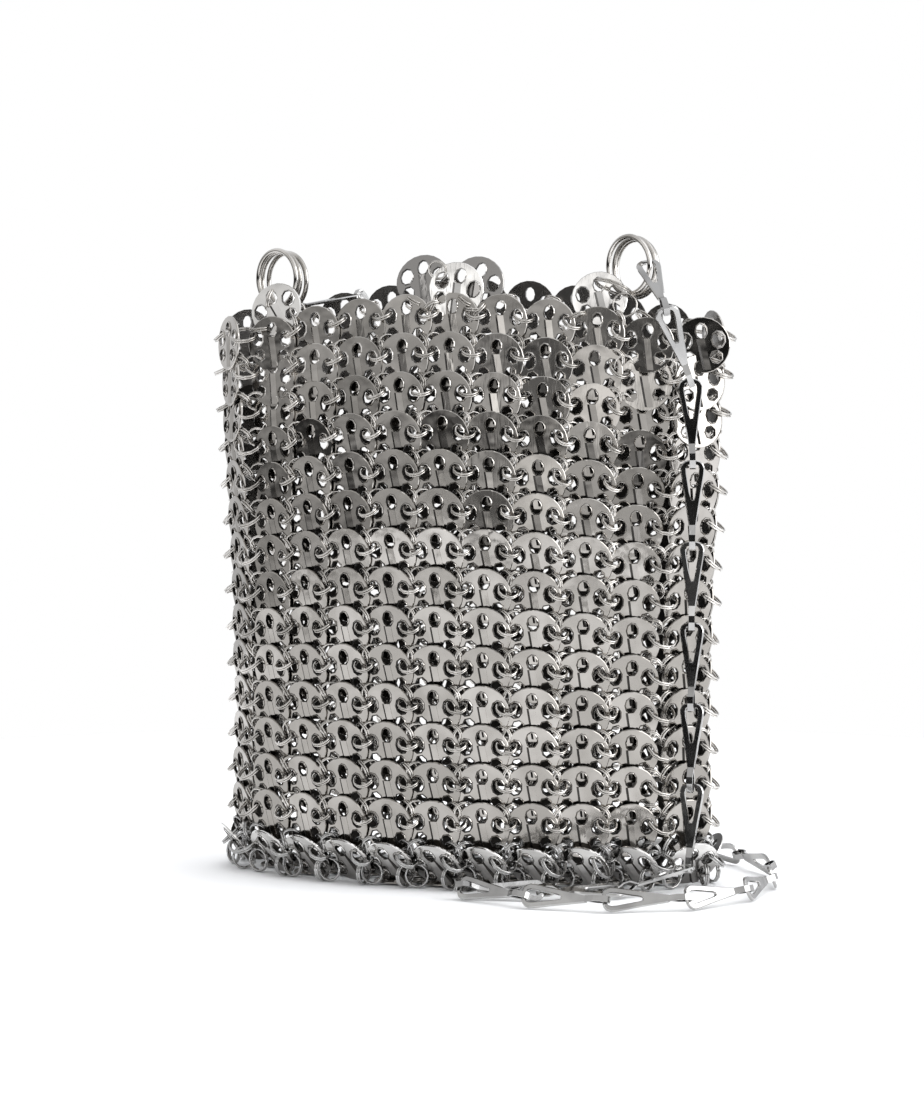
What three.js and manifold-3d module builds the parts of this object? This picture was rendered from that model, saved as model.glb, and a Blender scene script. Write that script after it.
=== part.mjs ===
// Chain shoulder bag: a body of round metal discs linked in rows, and a strap of flat stamped links.
// Millimetres, +Z up, the floor at z = 0, the front facing -Y.
import * as THREE from "three";
import { mergeVertices } from "three/addons/utils/BufferGeometryUtils.js";
import Module from "manifold-3d";

// Mail discs.
const DISC_DIAMETER = 21.5;
const DISC_THICKNESS = 1.0;
const COLUMN_PITCH = 19;
const ROW_PITCH = 14.9;
const FRONT_COLUMNS = 9;
const ROW_COUNT = 15;
const NECK_SHARE_OF_RADIUS = 0.98;

// Body shape.
const CORNER_PITCH = 25;
const GUSSET_HALF_SPACING = 11;
const CORNER_YAW_DEG = 48;
const FLOOR_GAP = 0.44;
const FRONT_SWELL = 19;
const SIDE_DEPTH = 28.5;
const SIDE_SLACK = 0.045;
const SHINGLE_SLOPE = 0.113;

// Rings.
const MAIL_RING_HEIGHT = 2.8;
const BRIDGE_HALF_HEIGHT = 1.2;
const STRAP_RING_DIAMETER = 24;
const STRAP_RING_WIRE = 2;
const WIRE_SIDES = 5;
const RING_SEGMENTS = 12;

// Strap links.
const LINK_PITCH = 31;
const LINK_WIDTH = 9.3;
const LINK_THICKNESS = 1.2;
const TAIL_WIDTH = 2;
const RIM_BAR = 1.7;
const WINDOW_LENGTH = 14;
const WINDOW_WIDTH = 6.3;
const LOOP_STRIP = 0.7;
const HEAD_ROUNDING = 2.6;
const HEAD_TIP_SHARE = 0.5;
const WAIST_AT_SHARE = 0.72;
const WAIST_SHARE = 1.25;
const WINDOW_ROUNDING = 1.4;
const WINDOW_MOUTH_SHARE = 0.75;
const LOOP_CLEARANCE = 0.95;
const LOOP_HEADROOM = 1.35;
const ROUTE_SAMPLES = 6000;

// Base panel.
const BASE_THICKNESS = 1.2;
const BASE_MARGIN = 0.6;

// Rows of the body from the rim down. belly: how far the front swells past its side columns,
// as a share of FRONT_SWELL. depth: how far the side columns stand from the middle plane, as
// a share of SIDE_DEPTH. lean: extra outward slope of the discs' upper edges. corner: distance
// from the side columns to the gusset's discs, as a share of CORNER_PITCH.
const ROW_FORMS = [
  { row: 1, belly: 0.263, depth: 0.579, lean: 0.07, corner: 0.84 },
  { row: 2, belly: 0.5, depth: 0.597, lean: 0.03, corner: 0.84 },
  { row: 3, belly: 0.674, depth: 0.639, lean: 0, corner: 0.85 },
  { row: 4, belly: 0.789, depth: 0.695, lean: 0, corner: 0.87 },
  { row: 6, belly: 0.905, depth: 0.807, lean: 0, corner: 0.9 },
  { row: 8, belly: 0.974, depth: 0.895, lean: 0, corner: 0.93 },
  { row: 11, belly: 1, depth: 0.965, lean: 0, corner: 0.96 },
  { row: 14, belly: 0.947, depth: 1, lean: 0.03, corner: 1 },
  { row: 15, belly: 0.915, depth: 0.922, lean: 0.5, corner: 1 },
];

// Discs linked above the rim: column counted from the front's middle, lift above the first
// row and distance back from its outer face as shares of the disc's diameter, and lean of
// the upper edge in degrees.
const RIM_TABS = [
  { name: "strap_tab_left", column: -4, lift: 0.614, back: 0.186, lean: 16 },
  { name: "strap_tab_right", column: 3, lift: 0.633, back: 0.237, lean: 16 },
  { name: "closure_tab_left", column: -0.75, lift: 0.721, back: 0.288, lean: 20 },
  { name: "closure_tab_right", column: 0.45, lift: 0.66, back: 0.205, lean: 10 },
];

// Corners of the hole near a tab's upper edge, as shares of the disc's radius.
const TAB_HOLE = [
  { across: -0.19, up: 0.33 },
  { across: 0.19, up: 0.33 },
  { across: 0.22, up: 0.6 },
  { across: 0, up: 0.8 },
  { across: -0.22, up: 0.6 },
];
const TAB_SIDES = 12;

// Route of the strap: from the right rings to the fold on the floor, and on from there
// round the right side and up the back to the left rings. face: outward side of the links
// on the stretch that starts at the point.
const FRONT_RUN = {
  points: [
    { at: [74.7, -12.3, 240.4], face: [0.12, -0.58, 0.78] },
    { at: [88, -34.4, 221.5], face: [0.4, -0.9, -0.3] },
    { at: [94, -21, 195], face: [0.25, -0.97, 0] },
    { at: [95, -21, 160], face: [0.22, -0.97, 0] },
    { at: [95, -21, 130], face: [0.18, -0.98, 0] },
    { at: [95, -21, 100], face: [0.04, -1, 0] },
    { at: [95, -21, 70], face: [-0.22, -0.97, 0] },
    { at: [95, -21, 38], face: [-0.42, -0.9, 0] },
    { at: [93.5, -23, 7], face: [-0.2, -0.2, 0.95] },
    { at: [72.5, -43.5, 3.4], face: [-0.2, -0.5, 0.84] },
    { at: [45, -57.5, 4], face: [-0.12, -0.75, 0.65] },
    { at: [16, -64, 5], face: [-0.1, -0.84, 0.54] },
  ],
};
const BACK_RUN = {
  points: [
    { at: [16, -64, 5], face: [-0.3, -0.8, 0.4] },
    { at: [43, -76, 5], face: [-0.05, -0.93, 0.36] },
    { at: [72, -78, 5], face: [0.25, -0.9, 0.36] },
    { at: [100, -68, 5], face: [0.7, -0.6, 0.36] },
    { at: [119, -44, 5], face: [0.92, -0.15, 0.36] },
    { at: [124, -12, 5], face: [0.92, 0.15, 0.36] },
    { at: [118, 19, 5], face: [0.75, 0.5, 0.36] },
    { at: [101, 45, 5], face: [0.5, 0.75, 0.4] },
    { at: [76, 61, 5], face: [0.25, 0.75, 0.6] },
    { at: [47, 69.5, 4], face: [0.05, 0.45, 0.9] },
    { at: [9.5, 70, 3.2], face: [0.44, 0.32, 0.84] },
    { at: [-16.5, 62.3, 18], face: [0.68, 0.73, 0.1] },
    { at: [-20.5, 59.5, 48], face: [0.4, 0.9, 0.05] },
    { at: [-25, 57.5, 78], face: [0.2, 0.98, 0.05] },
    { at: [-30, 55, 108], face: [0.1, 1, 0.1] },
    { at: [-37, 49, 156], face: [0.2, 0.94, 0.2] },
    { at: [-42, 42, 187], face: [0.3, 0.92, 0.25] },
    { at: [-46, 34, 213], face: [0.45, 0.84, 0.3] },
    { at: [-51, 24, 227], face: [-0.12, -0.1, 0.97] },
    { at: [-75.9, 2.3, 222.4], face: [-0.12, -0.1, 0.97] },
  ],
};

// Three rings on each side, from the front one back. aside, behind and above: from the middle
// of the tab's disc to the lowest point of the first ring's middle line, as shares of the
// ring's diameter. heading: turn of a ring's axis from the depth axis towards the right
// side, in degrees. spacing: from each ring to the next along the axis, in wire widths.
// sideways and down: from each ring to the next across the axis, in wire widths.
const RING_STACKS = [
  {
    side: "right",
    tab: "strap_tab_right",
    aside: 0.43,
    behind: 0.196,
    above: 0.071,
    heading: 30,
    spacing: [2.45, 1.4],
    sideways: -0.8,
    down: 0.3,
  },
  {
    side: "left",
    tab: "strap_tab_left",
    aside: -0.1,
    behind: 0.335,
    above: 0.05,
    heading: 28,
    spacing: [1.4, 2.1],
    sideways: -0.4,
    down: 0.25,
  },
];

const RADIUS = DISC_DIAMETER / 2;
const METAL_COLOURS = { mail: 0xb4b1ac, rim: 0xc2c0bb, ring: 0xa9a7a2, link: 0x8e8c88 };
const X_AXIS = new THREE.Vector3(1, 0, 0);
const Z_AXIS = new THREE.Vector3(0, 0, 1);

const wasm = await Module();
wasm.setup();

function radians(degrees) {
  return THREE.MathUtils.degToRad(degrees);
}

// Value of a table column between its rows.
function tableValue(table, key, position, field) {
  if (position <= table[0][key]) return table[0][field];
  for (let i = 1; i < table.length; i += 1) {
    const low = table[i - 1];
    const high = table[i];
    if (position <= high[key]) {
      const share = (position - low[key]) / (high[key] - low[key]);
      return THREE.MathUtils.lerp(low[field], high[field], share);
    }
  }
  return table[table.length - 1][field];
}

// Half the turn of an arc of discs whose swell is belly.
function halfTurnOfArc(belly) {
  const spans = FRONT_COLUMNS - 1;
  let low = 1e-4;
  let high = Math.PI / 2;
  for (let i = 0; i < 50; i += 1) {
    const middle = (low + high) / 2;
    const radius = COLUMN_PITCH / (2 * Math.sin(middle / spans));
    if (radius * (1 - Math.cos(middle)) < belly) low = middle;
    else high = middle;
  }
  return low;
}

// Places and headings of one row's discs, seen from above: front left to right, right
// gusset, back right to left, left gusset.
function rowPlan(row) {
  const belly = FRONT_SWELL * tableValue(ROW_FORMS, "row", row, "belly");
  const depth = SIDE_DEPTH * tableValue(ROW_FORMS, "row", row, "depth");
  const halfTurn = halfTurnOfArc(belly);
  const arcRadius = COLUMN_PITCH / (2 * Math.sin(halfTurn / (FRONT_COLUMNS - 1)));
  const half = (FRONT_COLUMNS - 1) / 2;
  const front = [];
  for (let i = 0; i < FRONT_COLUMNS; i += 1) {
    const share = (i - half) / half;
    const turn = halfTurn * share;
    front.push({
      x: arcRadius * Math.sin(turn),
      y: -(depth + belly) + arcRadius * (1 - Math.cos(turn)),
      heading: turn,
      slack: share * share,
    });
  }
  const last = front[front.length - 1];
  const cornerPitch = CORNER_PITCH * tableValue(ROW_FORMS, "row", row, "corner");
  const reach = Math.sqrt(cornerPitch ** 2 - (depth - GUSSET_HALF_SPACING) ** 2);
  const corner = {
    x: last.x + reach,
    y: -GUSSET_HALF_SPACING,
    heading: radians(CORNER_YAW_DEG),
    slack: 1,
  };
  const rightSide = [...front, corner];
  const turnedBack = rightSide
    .map((d) => ({ x: d.x, y: -d.y, heading: Math.PI - d.heading, slack: d.slack }))
    .reverse();
  const leftCorner = { ...corner, x: -corner.x, heading: -corner.heading };
  const leftBack = { ...corner, x: -corner.x, y: corner.y * -1, heading: Math.PI + corner.heading };
  return [...rightSide, ...turnedBack, leftBack, leftCorner];
}

// Height of a row's disc centres. The leaning discs of the last row stand just off the floor.
function rowHeight(row, slack) {
  const lastLean = tableValue(ROW_FORMS, "row", ROW_COUNT, "lean");
  const lastHeight = RADIUS / Math.hypot(1, SHINGLE_SLOPE + lastLean) + FLOOR_GAP;
  return lastHeight + (ROW_COUNT - row) * ROW_PITCH * (1 - SIDE_SLACK * slack);
}

// Frame of each disc of a row: centre, along the row, up the disc, and outward.
function rowFrames(row) {
  const plan = rowPlan(row);
  const above = rowPlan(Math.max(row - 1, 1));
  const below = rowPlan(Math.min(row + 1, ROW_COUNT - 1));
  const lean = tableValue(ROW_FORMS, "row", row, "lean");
  return plan.map((disc, i) => {
    const along = new THREE.Vector3(Math.cos(disc.heading), Math.sin(disc.heading), 0);
    const outward = new THREE.Vector3().crossVectors(along, Z_AXIS);
    const growth = (below[i].x - above[i].x) * outward.x + (below[i].y - above[i].y) * outward.y;
    const span = Math.max(Math.min(row + 1, ROW_COUNT - 1) - Math.max(row - 1, 1), 1);
    const slope = SHINGLE_SLOPE + lean - growth / (span * ROW_PITCH);
    const up = Z_AXIS.clone().addScaledVector(outward, slope).normalize();
    return {
      centre: new THREE.Vector3(disc.x, disc.y, rowHeight(row, disc.slack)),
      along,
      up,
      outward: new THREE.Vector3().crossVectors(along, up).normalize(),
    };
  });
}

function placed(frame, along, up, inward) {
  return frame.centre
    .clone()
    .addScaledVector(frame.along, along)
    .addScaledVector(frame.up, up)
    .addScaledVector(frame.outward, -inward);
}

// Points of a disc's upper or lower arc between two angles, without the two ends.
function arcPoints(fromAngle, toAngle, count) {
  const points = [];
  for (let i = 1; i <= count; i += 1) {
    const angle = THREE.MathUtils.lerp(fromAngle, toAngle, i / (count + 1));
    points.push([RADIUS * Math.cos(angle), RADIUS * Math.sin(angle)]);
  }
  return points;
}

// Triangles gathered as plain positions; joined into a closed mesh at the end.
class Faces {
  constructor() {
    this.positions = [];
  }

  triangle(a, b, c) {
    this.positions.push(a.x, a.y, a.z, b.x, b.y, b.z, c.x, c.y, c.z);
  }

  quad(a, b, c, d) {
    this.triangle(a, b, c);
    this.triangle(a, c, d);
  }

  geometry() {
    const geometry = new THREE.BufferGeometry();
    geometry.setAttribute("position", new THREE.Float32BufferAttribute(this.positions, 3));
    return geometry;
  }
}

// Half the height of the neck where two discs of one row overlap, or 0 if they stand clear.
function neckHalf(halfPitch) {
  const reach = RADIUS * NECK_SHARE_OF_RADIUS;
  return Math.sqrt(Math.max(reach * reach - halfPitch * halfPitch, 0));
}

// Edge that a disc shares with its neighbour: the neck where the two overlap.
function sharedNeck(left, right) {
  const halfPitch = left.centre.distanceTo(right.centre) / 2;
  const half = neckHalf(halfPitch);
  const edge = {};
  for (const [key, up, inward] of [
    ["topOut", half, 0],
    ["topIn", half, DISC_THICKNESS],
    ["lowOut", -half, 0],
    ["lowIn", -half, DISC_THICKNESS],
  ]) {
    edge[key] = placed(left, halfPitch, up, inward)
      .add(placed(right, -halfPitch, up, inward))
      .multiplyScalar(0.5);
  }
  edge.angle = Math.asin(half / RADIUS);
  return edge;
}

// Edge of a disc that stands clear of its neighbour, where a ring joins the two.
function ringEdge(frame, side) {
  const reach = RADIUS * Math.cos(Math.asin(MAIL_RING_HEIGHT / RADIUS)) * NECK_SHARE_OF_RADIUS;
  const top = MAIL_RING_HEIGHT + BRIDGE_HALF_HEIGHT;
  const low = MAIL_RING_HEIGHT - BRIDGE_HALF_HEIGHT;
  return {
    topOut: placed(frame, side * reach, top, 0),
    topIn: placed(frame, side * reach, top, DISC_THICKNESS),
    lowOut: placed(frame, side * reach, low, 0),
    lowIn: placed(frame, side * reach, low, DISC_THICKNESS),
    angle: Math.asin(top / RADIUS),
    lowAngle: Math.asin(low / RADIUS),
    clear: true,
  };
}

// One row of the mail as a closed band of joined discs.
function discRow(row) {
  const frames = rowFrames(row);
  const count = frames.length;
  const faces = new Faces();
  const bottomPoints = row === ROW_COUNT ? 3 : 1;
  const ends = frames.map((frame, i) => {
    const next = frames[(i + 1) % count];
    const halfPitch = frame.centre.distanceTo(next.centre) / 2;
    if (neckHalf(halfPitch) < MAIL_RING_HEIGHT)
      return { right: ringEdge(frame, 1), left: ringEdge(next, -1) };
    const neck = sharedNeck(frame, next);
    return { right: neck, left: neck };
  });
  frames.forEach((frame, i) => {
    const left = ends[(i + count - 1) % count].left;
    const right = ends[i].right;
    const lowStart = left.clear ? left.lowAngle : -left.angle;
    const lowEnd = right.clear ? right.lowAngle : -right.angle;
    const clearSide = left.clear || right.clear;
    const top = arcPoints(Math.PI - left.angle, right.angle, i < FRONT_COLUMNS ? 3 : 2);
    const lowCount = clearSide ? bottomPoints + 1 : bottomPoints;
    const low = arcPoints(Math.PI - lowStart, 2 * Math.PI + lowEnd, lowCount);
    const topOut = [left.topOut, ...top.map((p) => placed(frame, p[0], p[1], 0)), right.topOut];
    const topIn = [
      left.topIn,
      ...top.map((p) => placed(frame, p[0], p[1], DISC_THICKNESS)),
      right.topIn,
    ];
    const lowOut = [left.lowOut, ...low.map((p) => placed(frame, p[0], p[1], 0)), right.lowOut];
    const lowIn = [
      left.lowIn,
      ...low.map((p) => placed(frame, p[0], p[1], DISC_THICKNESS)),
      right.lowIn,
    ];
    const outline = [...topOut, ...[...lowOut].reverse()];
    const inner = [...topIn, ...[...lowIn].reverse()];
    const hub = Math.floor(topOut.length / 2);
    for (let k = 1; k < outline.length - 1; k += 1) {
      const b = (hub + k) % outline.length;
      const c = (hub + k + 1) % outline.length;
      faces.triangle(outline[hub], outline[c], outline[b]);
      faces.triangle(inner[hub], inner[b], inner[c]);
    }
    for (let k = 0; k < topOut.length - 1; k += 1)
      faces.quad(topOut[k], topOut[k + 1], topIn[k + 1], topIn[k]);
    for (let k = 0; k < lowOut.length - 1; k += 1)
      faces.quad(lowOut[k + 1], lowOut[k], lowIn[k], lowIn[k + 1]);
    if (right.clear) {
      const far = ends[i].left;
      faces.quad(right.topOut, far.topOut, far.topIn, right.topIn);
      faces.quad(right.lowIn, far.lowIn, far.lowOut, right.lowOut);
      faces.quad(right.topOut, right.lowOut, far.lowOut, far.topOut);
      faces.quad(right.topIn, far.topIn, far.lowIn, right.lowIn);
    }
  });
  return faces.geometry();
}

// A plate drawn in its own x and y, with holes, thickness centred on z = 0.
function plate(outline, holes, thickness) {
  const shape = new THREE.Shape(outline.map((p) => new THREE.Vector2(p[0], p[1])));
  for (const hole of holes)
    shape.holes.push(new THREE.Path(hole.map((p) => new THREE.Vector2(p[0], p[1]))));
  const body = new THREE.ExtrudeGeometry(shape, { depth: thickness, bevelEnabled: false });
  body.translate(0, 0, -thickness / 2);
  return body;
}

function solidOf(geometry) {
  const bare = geometry.clone();
  bare.deleteAttribute("normal");
  bare.deleteAttribute("uv");
  const merged = mergeVertices(bare, 1e-4);
  const mesh = new wasm.Mesh({
    numProp: 3,
    vertProperties: merged.attributes.position.array,
    triVerts: new Uint32Array(merged.index.array),
  });
  return new wasm.Manifold(mesh);
}

function geometryOf(solid) {
  const mesh = solid.getMesh();
  const stride = mesh.numProp;
  const positions = new Float32Array(mesh.numVert * 3);
  for (let i = 0; i < mesh.numVert; i += 1)
    positions.set(mesh.vertProperties.subarray(i * stride, i * stride + 3), i * 3);
  const geometry = new THREE.BufferGeometry();
  geometry.setAttribute("position", new THREE.BufferAttribute(positions, 3));
  geometry.setIndex(new THREE.BufferAttribute(mesh.triVerts, 1));
  return geometry;
}

// One strap link: x runs from the pivot in its head to the pivot of the next link. The
// head has a window, and the tail ends in a closed loop that holds the next link's rim.
function linkGeometry() {
  const half = LINK_WIDTH / 2;
  const tail = TAIL_WIDTH / 2;
  const headEnd = -RIM_BAR / 2;
  const loopInner = RIM_BAR / 2 + LOOP_CLEARANCE;
  const tailEnd = LINK_PITCH - loopInner - LOOP_STRIP / 2;
  const waistAt = LINK_PITCH * WAIST_AT_SHARE;
  const outline = [
    [headEnd, -half * HEAD_TIP_SHARE],
    [headEnd + HEAD_ROUNDING, -half],
    [waistAt, -tail * WAIST_SHARE],
    [tailEnd, -tail],
    [tailEnd, tail],
    [waistAt, tail * WAIST_SHARE],
    [headEnd + HEAD_ROUNDING, half],
    [headEnd, half * HEAD_TIP_SHARE],
  ];
  const windowStart = RIM_BAR / 2;
  const windowHalf = WINDOW_WIDTH / 2;
  const window = [
    [windowStart, -windowHalf * WINDOW_MOUTH_SHARE],
    [windowStart, windowHalf * WINDOW_MOUTH_SHARE],
    [windowStart + WINDOW_ROUNDING, windowHalf],
    [windowStart + WINDOW_LENGTH, 0],
    [windowStart + WINDOW_ROUNDING, -windowHalf],
  ];
  const body = solidOf(plate(outline, [window], LINK_THICKNESS));
  const innerHalf = LINK_THICKNESS / 2 + LOOP_HEADROOM;
  const outerX = loopInner + LOOP_STRIP;
  const outerZ = innerHalf + LOOP_STRIP;
  const loop = plate(
    [
      [-outerX, -outerZ],
      [outerX, -outerZ],
      [outerX, outerZ],
      [-outerX, outerZ],
    ],
    [
      [
        [-loopInner, -innerHalf],
        [-loopInner, innerHalf],
        [loopInner, innerHalf],
        [loopInner, -innerHalf],
      ],
    ],
    TAIL_WIDTH,
  );
  loop.rotateX(Math.PI / 2);
  loop.translate(LINK_PITCH, 0, 0);
  return geometryOf(body.add(solidOf(loop)));
}

// Points at equal straight distances along a run of the strap.
function runJoints(run) {
  const points = run.points.map((p) => new THREE.Vector3(...p.at));
  const curve = new THREE.CatmullRomCurve3(points, false, "centripetal");
  const samples = curve.getPoints(ROUTE_SAMPLES);
  const walk = (pitch) => {
    const joints = [{ at: samples[0], share: 0 }];
    for (let i = 1; i < samples.length; i += 1) {
      if (samples[i].distanceTo(joints[joints.length - 1].at) >= pitch)
        joints.push({ at: samples[i], share: i / (samples.length - 1) });
    }
    return joints;
  };
  const links = Math.round(curve.getLength() / LINK_PITCH);
  let low = LINK_PITCH * 0.8;
  let high = LINK_PITCH * 1.2;
  for (let i = 0; i < 40; i += 1) {
    const pitch = (low + high) / 2;
    if (walk(pitch).length > links) low = pitch;
    else high = pitch;
  }
  return walk(low).slice(0, links + 1);
}

function faceAt(run, share) {
  const index = Math.min(Math.floor(share * (run.points.length - 1)), run.points.length - 2);
  return new THREE.Vector3(...run.points[index].face).normalize();
}

function basis(origin, along, face) {
  const z = face.clone().addScaledVector(along, -face.dot(along)).normalize();
  const y = new THREE.Vector3().crossVectors(z, along);
  return new THREE.Matrix4().makeBasis(along, y, z).setPosition(origin);
}

function named(name, geometry, colour, roughness) {
  const material = new THREE.MeshStandardMaterial({ color: colour, metalness: 1, roughness });
  const mesh = new THREE.Mesh(geometry, material);
  mesh.name = name;
  return mesh;
}

const bag = new THREE.Group();
bag.name = "chain_shoulder_bag";

for (let row = 1; row <= ROW_COUNT; row += 1) {
  const name = "disc_row_" + String(row).padStart(2, "0");
  bag.add(named(name, mergeVertices(discRow(row), 1e-4), METAL_COLOURS.mail, 0.28));
}

// Base panel: a flat sheet of the mail inside the bottom row.
{
  const outline = rowFrames(ROW_COUNT).map((frame) => {
    const low = placed(frame, 0, -RADIUS, DISC_THICKNESS);
    const inward = new THREE.Vector3(frame.outward.x, frame.outward.y, 0).normalize();
    return [low.x - inward.x * BASE_MARGIN, low.y - inward.y * BASE_MARGIN];
  });
  const base = plate(outline, [], BASE_THICKNESS);
  base.translate(0, 0, BASE_THICKNESS / 2);
  bag.add(named("base_panel", base, METAL_COLOURS.mail, 0.3));
}

// Middle of a disc above the rim, and the direction along the rim there.
function tabSeat(tab) {
  const frames = rowFrames(1);
  const half = (FRONT_COLUMNS - 1) / 2;
  const position = tab.column + half;
  const index = Math.min(Math.floor(position), FRONT_COLUMNS - 2);
  const share = position - index;
  const seat = frames[index].centre.clone().lerp(frames[index + 1].centre, share);
  const along = frames[Math.round(position)].along;
  const behind = new THREE.Vector3().crossVectors(Z_AXIS, along);
  seat.addScaledVector(Z_AXIS, DISC_DIAMETER * tab.lift);
  seat.addScaledVector(behind, DISC_DIAMETER * tab.back);
  return { seat, along };
}

// Discs that stand above the rim.
for (const tab of RIM_TABS) {
  const { seat, along } = tabSeat(tab);
  const outline = [];
  for (let k = 0; k < TAB_SIDES; k += 1) {
    const angle = ((k + 0.5) * 2 * Math.PI) / TAB_SIDES;
    outline.push([RADIUS * Math.cos(angle), RADIUS * Math.sin(angle)]);
  }
  const hole = TAB_HOLE.map((corner) => [RADIUS * corner.across, RADIUS * corner.up]);
  const disc = plate(outline, [hole], DISC_THICKNESS);
  disc.rotateX(Math.PI / 2);
  disc.rotateX(-radians(tab.lean));
  const turn = new THREE.Matrix4().makeRotationZ(Math.atan2(along.y, along.x));
  disc.applyMatrix4(turn);
  disc.translate(seat.x, seat.y, seat.z);
  bag.add(named(tab.name, disc, METAL_COLOURS.rim, 0.25));
}

// A wire ring round the x axis.
function wireRing(diameter, wire) {
  const middle = (diameter - wire) / 2;
  const ring = new THREE.TorusGeometry(middle, wire / 2, WIRE_SIDES, RING_SEGMENTS);
  ring.rotateY(Math.PI / 2);
  return ring;
}

// Stacks of rings that carry the strap.
for (const stack of RING_STACKS) {
  const turn = radians(stack.heading);
  const axis = new THREE.Vector3(Math.sin(turn), Math.cos(turn), 0);
  const sideways = new THREE.Vector3(Math.cos(turn), -Math.sin(turn), 0);
  const { seat } = tabSeat(RIM_TABS.find((tab) => tab.name === stack.tab));
  const offset = new THREE.Vector3(stack.aside, stack.behind, stack.above);
  seat.addScaledVector(offset, STRAP_RING_DIAMETER);
  seat.addScaledVector(Z_AXIS, (STRAP_RING_DIAMETER - STRAP_RING_WIRE) / 2);
  for (let i = 0; i <= stack.spacing.length; i += 1) {
    const ring = wireRing(STRAP_RING_DIAMETER, STRAP_RING_WIRE);
    ring.rotateZ(Math.PI / 2 - turn);
    ring.translate(seat.x, seat.y, seat.z);
    bag.add(named(`strap_ring_${stack.side}_${i + 1}`, ring, METAL_COLOURS.ring, 0.2));
    seat.addScaledVector(axis, STRAP_RING_WIRE * (stack.spacing[i] ?? 0));
    seat.addScaledVector(sideways, STRAP_RING_WIRE * stack.sideways);
    seat.addScaledVector(Z_AXIS, -STRAP_RING_WIRE * stack.down);
  }
}

// Strap links.
{
  const link = linkGeometry();
  let number = 1;
  for (const run of [FRONT_RUN, BACK_RUN]) {
    const joints = runJoints(run);
    for (let i = 0; i < joints.length - 1; i += 1) {
      const along = joints[i + 1].at.clone().sub(joints[i].at).normalize();
      const face = faceAt(run, (joints[i].share + joints[i + 1].share) / 2);
      const geometry = link.clone().applyMatrix4(basis(joints[i].at, along, face));
      const name = "strap_link_" + String(number).padStart(2, "0");
      bag.add(named(name, geometry, METAL_COLOURS.link, 0.25));
      number += 1;
    }
  }
}

export default bag;
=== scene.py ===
import math
import random

import bmesh
import bpy
from mathutils import Matrix, Vector, geometry


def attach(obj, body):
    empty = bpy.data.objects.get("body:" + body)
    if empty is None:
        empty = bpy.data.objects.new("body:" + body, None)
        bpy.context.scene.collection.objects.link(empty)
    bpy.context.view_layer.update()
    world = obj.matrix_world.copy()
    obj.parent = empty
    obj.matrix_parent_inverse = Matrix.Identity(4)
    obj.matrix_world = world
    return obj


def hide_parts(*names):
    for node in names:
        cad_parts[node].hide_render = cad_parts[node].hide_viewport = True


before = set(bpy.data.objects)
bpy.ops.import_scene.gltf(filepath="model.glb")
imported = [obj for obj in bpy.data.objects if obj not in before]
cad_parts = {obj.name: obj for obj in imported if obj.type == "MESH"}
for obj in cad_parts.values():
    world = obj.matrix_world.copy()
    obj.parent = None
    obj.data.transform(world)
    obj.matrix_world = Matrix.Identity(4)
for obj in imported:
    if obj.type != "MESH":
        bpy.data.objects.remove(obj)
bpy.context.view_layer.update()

MM = 0.001
UP = Vector((0, 0, 1))

# Mail, as in the part's source.
DISC_DIAMETER = 21.5
RADIUS = DISC_DIAMETER / 2
COLUMN_PITCH = 19
ROW_PITCH = 14.9
FRONT_COLUMNS = 9
ROW_COUNT = 15
CORNER_PITCH = 25
GUSSET_HALF_SPACING = 11
CORNER_YAW_DEG = 48
FLOOR_GAP = 0.44
FRONT_SWELL = 19
SIDE_DEPTH = 28.5
SIDE_SLACK = 0.045
SHINGLE_SLOPE = 0.113
STRAP_RING_DIAMETER = 24
STRAP_RING_WIRE = 2
STRAP_RING_WIRE_SIDES = 12
STRAP_RING_SEGMENTS = 48
LINK_PITCH = 31
LINK_WIDTH = 9.3
ROUTE_SAMPLES = 6000

# Rows from the rim down. belly and depth are shares of FRONT_SWELL and SIDE_DEPTH, corner is a
# share of CORNER_PITCH, and lean is an extra slope of the discs' upper edges outward.
ROW_FORMS = [
    {"row": 1, "belly": 0.263, "depth": 0.579, "lean": 0.07, "corner": 0.84},
    {"row": 2, "belly": 0.5, "depth": 0.597, "lean": 0.03, "corner": 0.84},
    {"row": 3, "belly": 0.674, "depth": 0.639, "lean": 0, "corner": 0.85},
    {"row": 4, "belly": 0.789, "depth": 0.695, "lean": 0, "corner": 0.87},
    {"row": 6, "belly": 0.905, "depth": 0.807, "lean": 0, "corner": 0.9},
    {"row": 8, "belly": 0.974, "depth": 0.895, "lean": 0, "corner": 0.93},
    {"row": 11, "belly": 1, "depth": 0.965, "lean": 0, "corner": 0.96},
    {"row": 14, "belly": 0.947, "depth": 1, "lean": 0.03, "corner": 1},
    {"row": 15, "belly": 0.915, "depth": 0.922, "lean": 0.5, "corner": 1},
]

# Discs above the rim. column counts from the front's middle disc; lift and back are shares of a
# disc's diameter above and behind row 1. lean tips the upper edge back, swing brings the right
# edge outward and roll turns a disc in its own plane, in degrees. tone is how much darker it is.
RIM_TABS = [
    {"name": "strap_tab_left", "column": -4, "lift": 0.614, "back": 0.186,
     "lean": 16, "swing": 0, "roll": 28, "tone": 0.2},
    {"name": "strap_tab_right", "column": 3, "lift": 0.633, "back": 0.237,
     "lean": 16, "swing": -6, "roll": 6, "tone": 0.4},
    {"name": "closure_tab_left", "column": -0.75, "lift": 0.721, "back": 0.288,
     "lean": 20, "swing": 0, "roll": 4, "tone": 1.0},
    {"name": "closure_tab_right", "column": 0.45, "lift": 0.66, "back": 0.205,
     "lean": 10, "swing": 0, "roll": -15, "tone": 1.0},
]
CLOSURE_DISC = {
    "column": 0.05, "lift": 0.545, "back": 0.09, "lean": 8, "swing": -9, "roll": -14, "tone": 0.12,
}
TAB_DISC_FORWARD = 0.3

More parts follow.
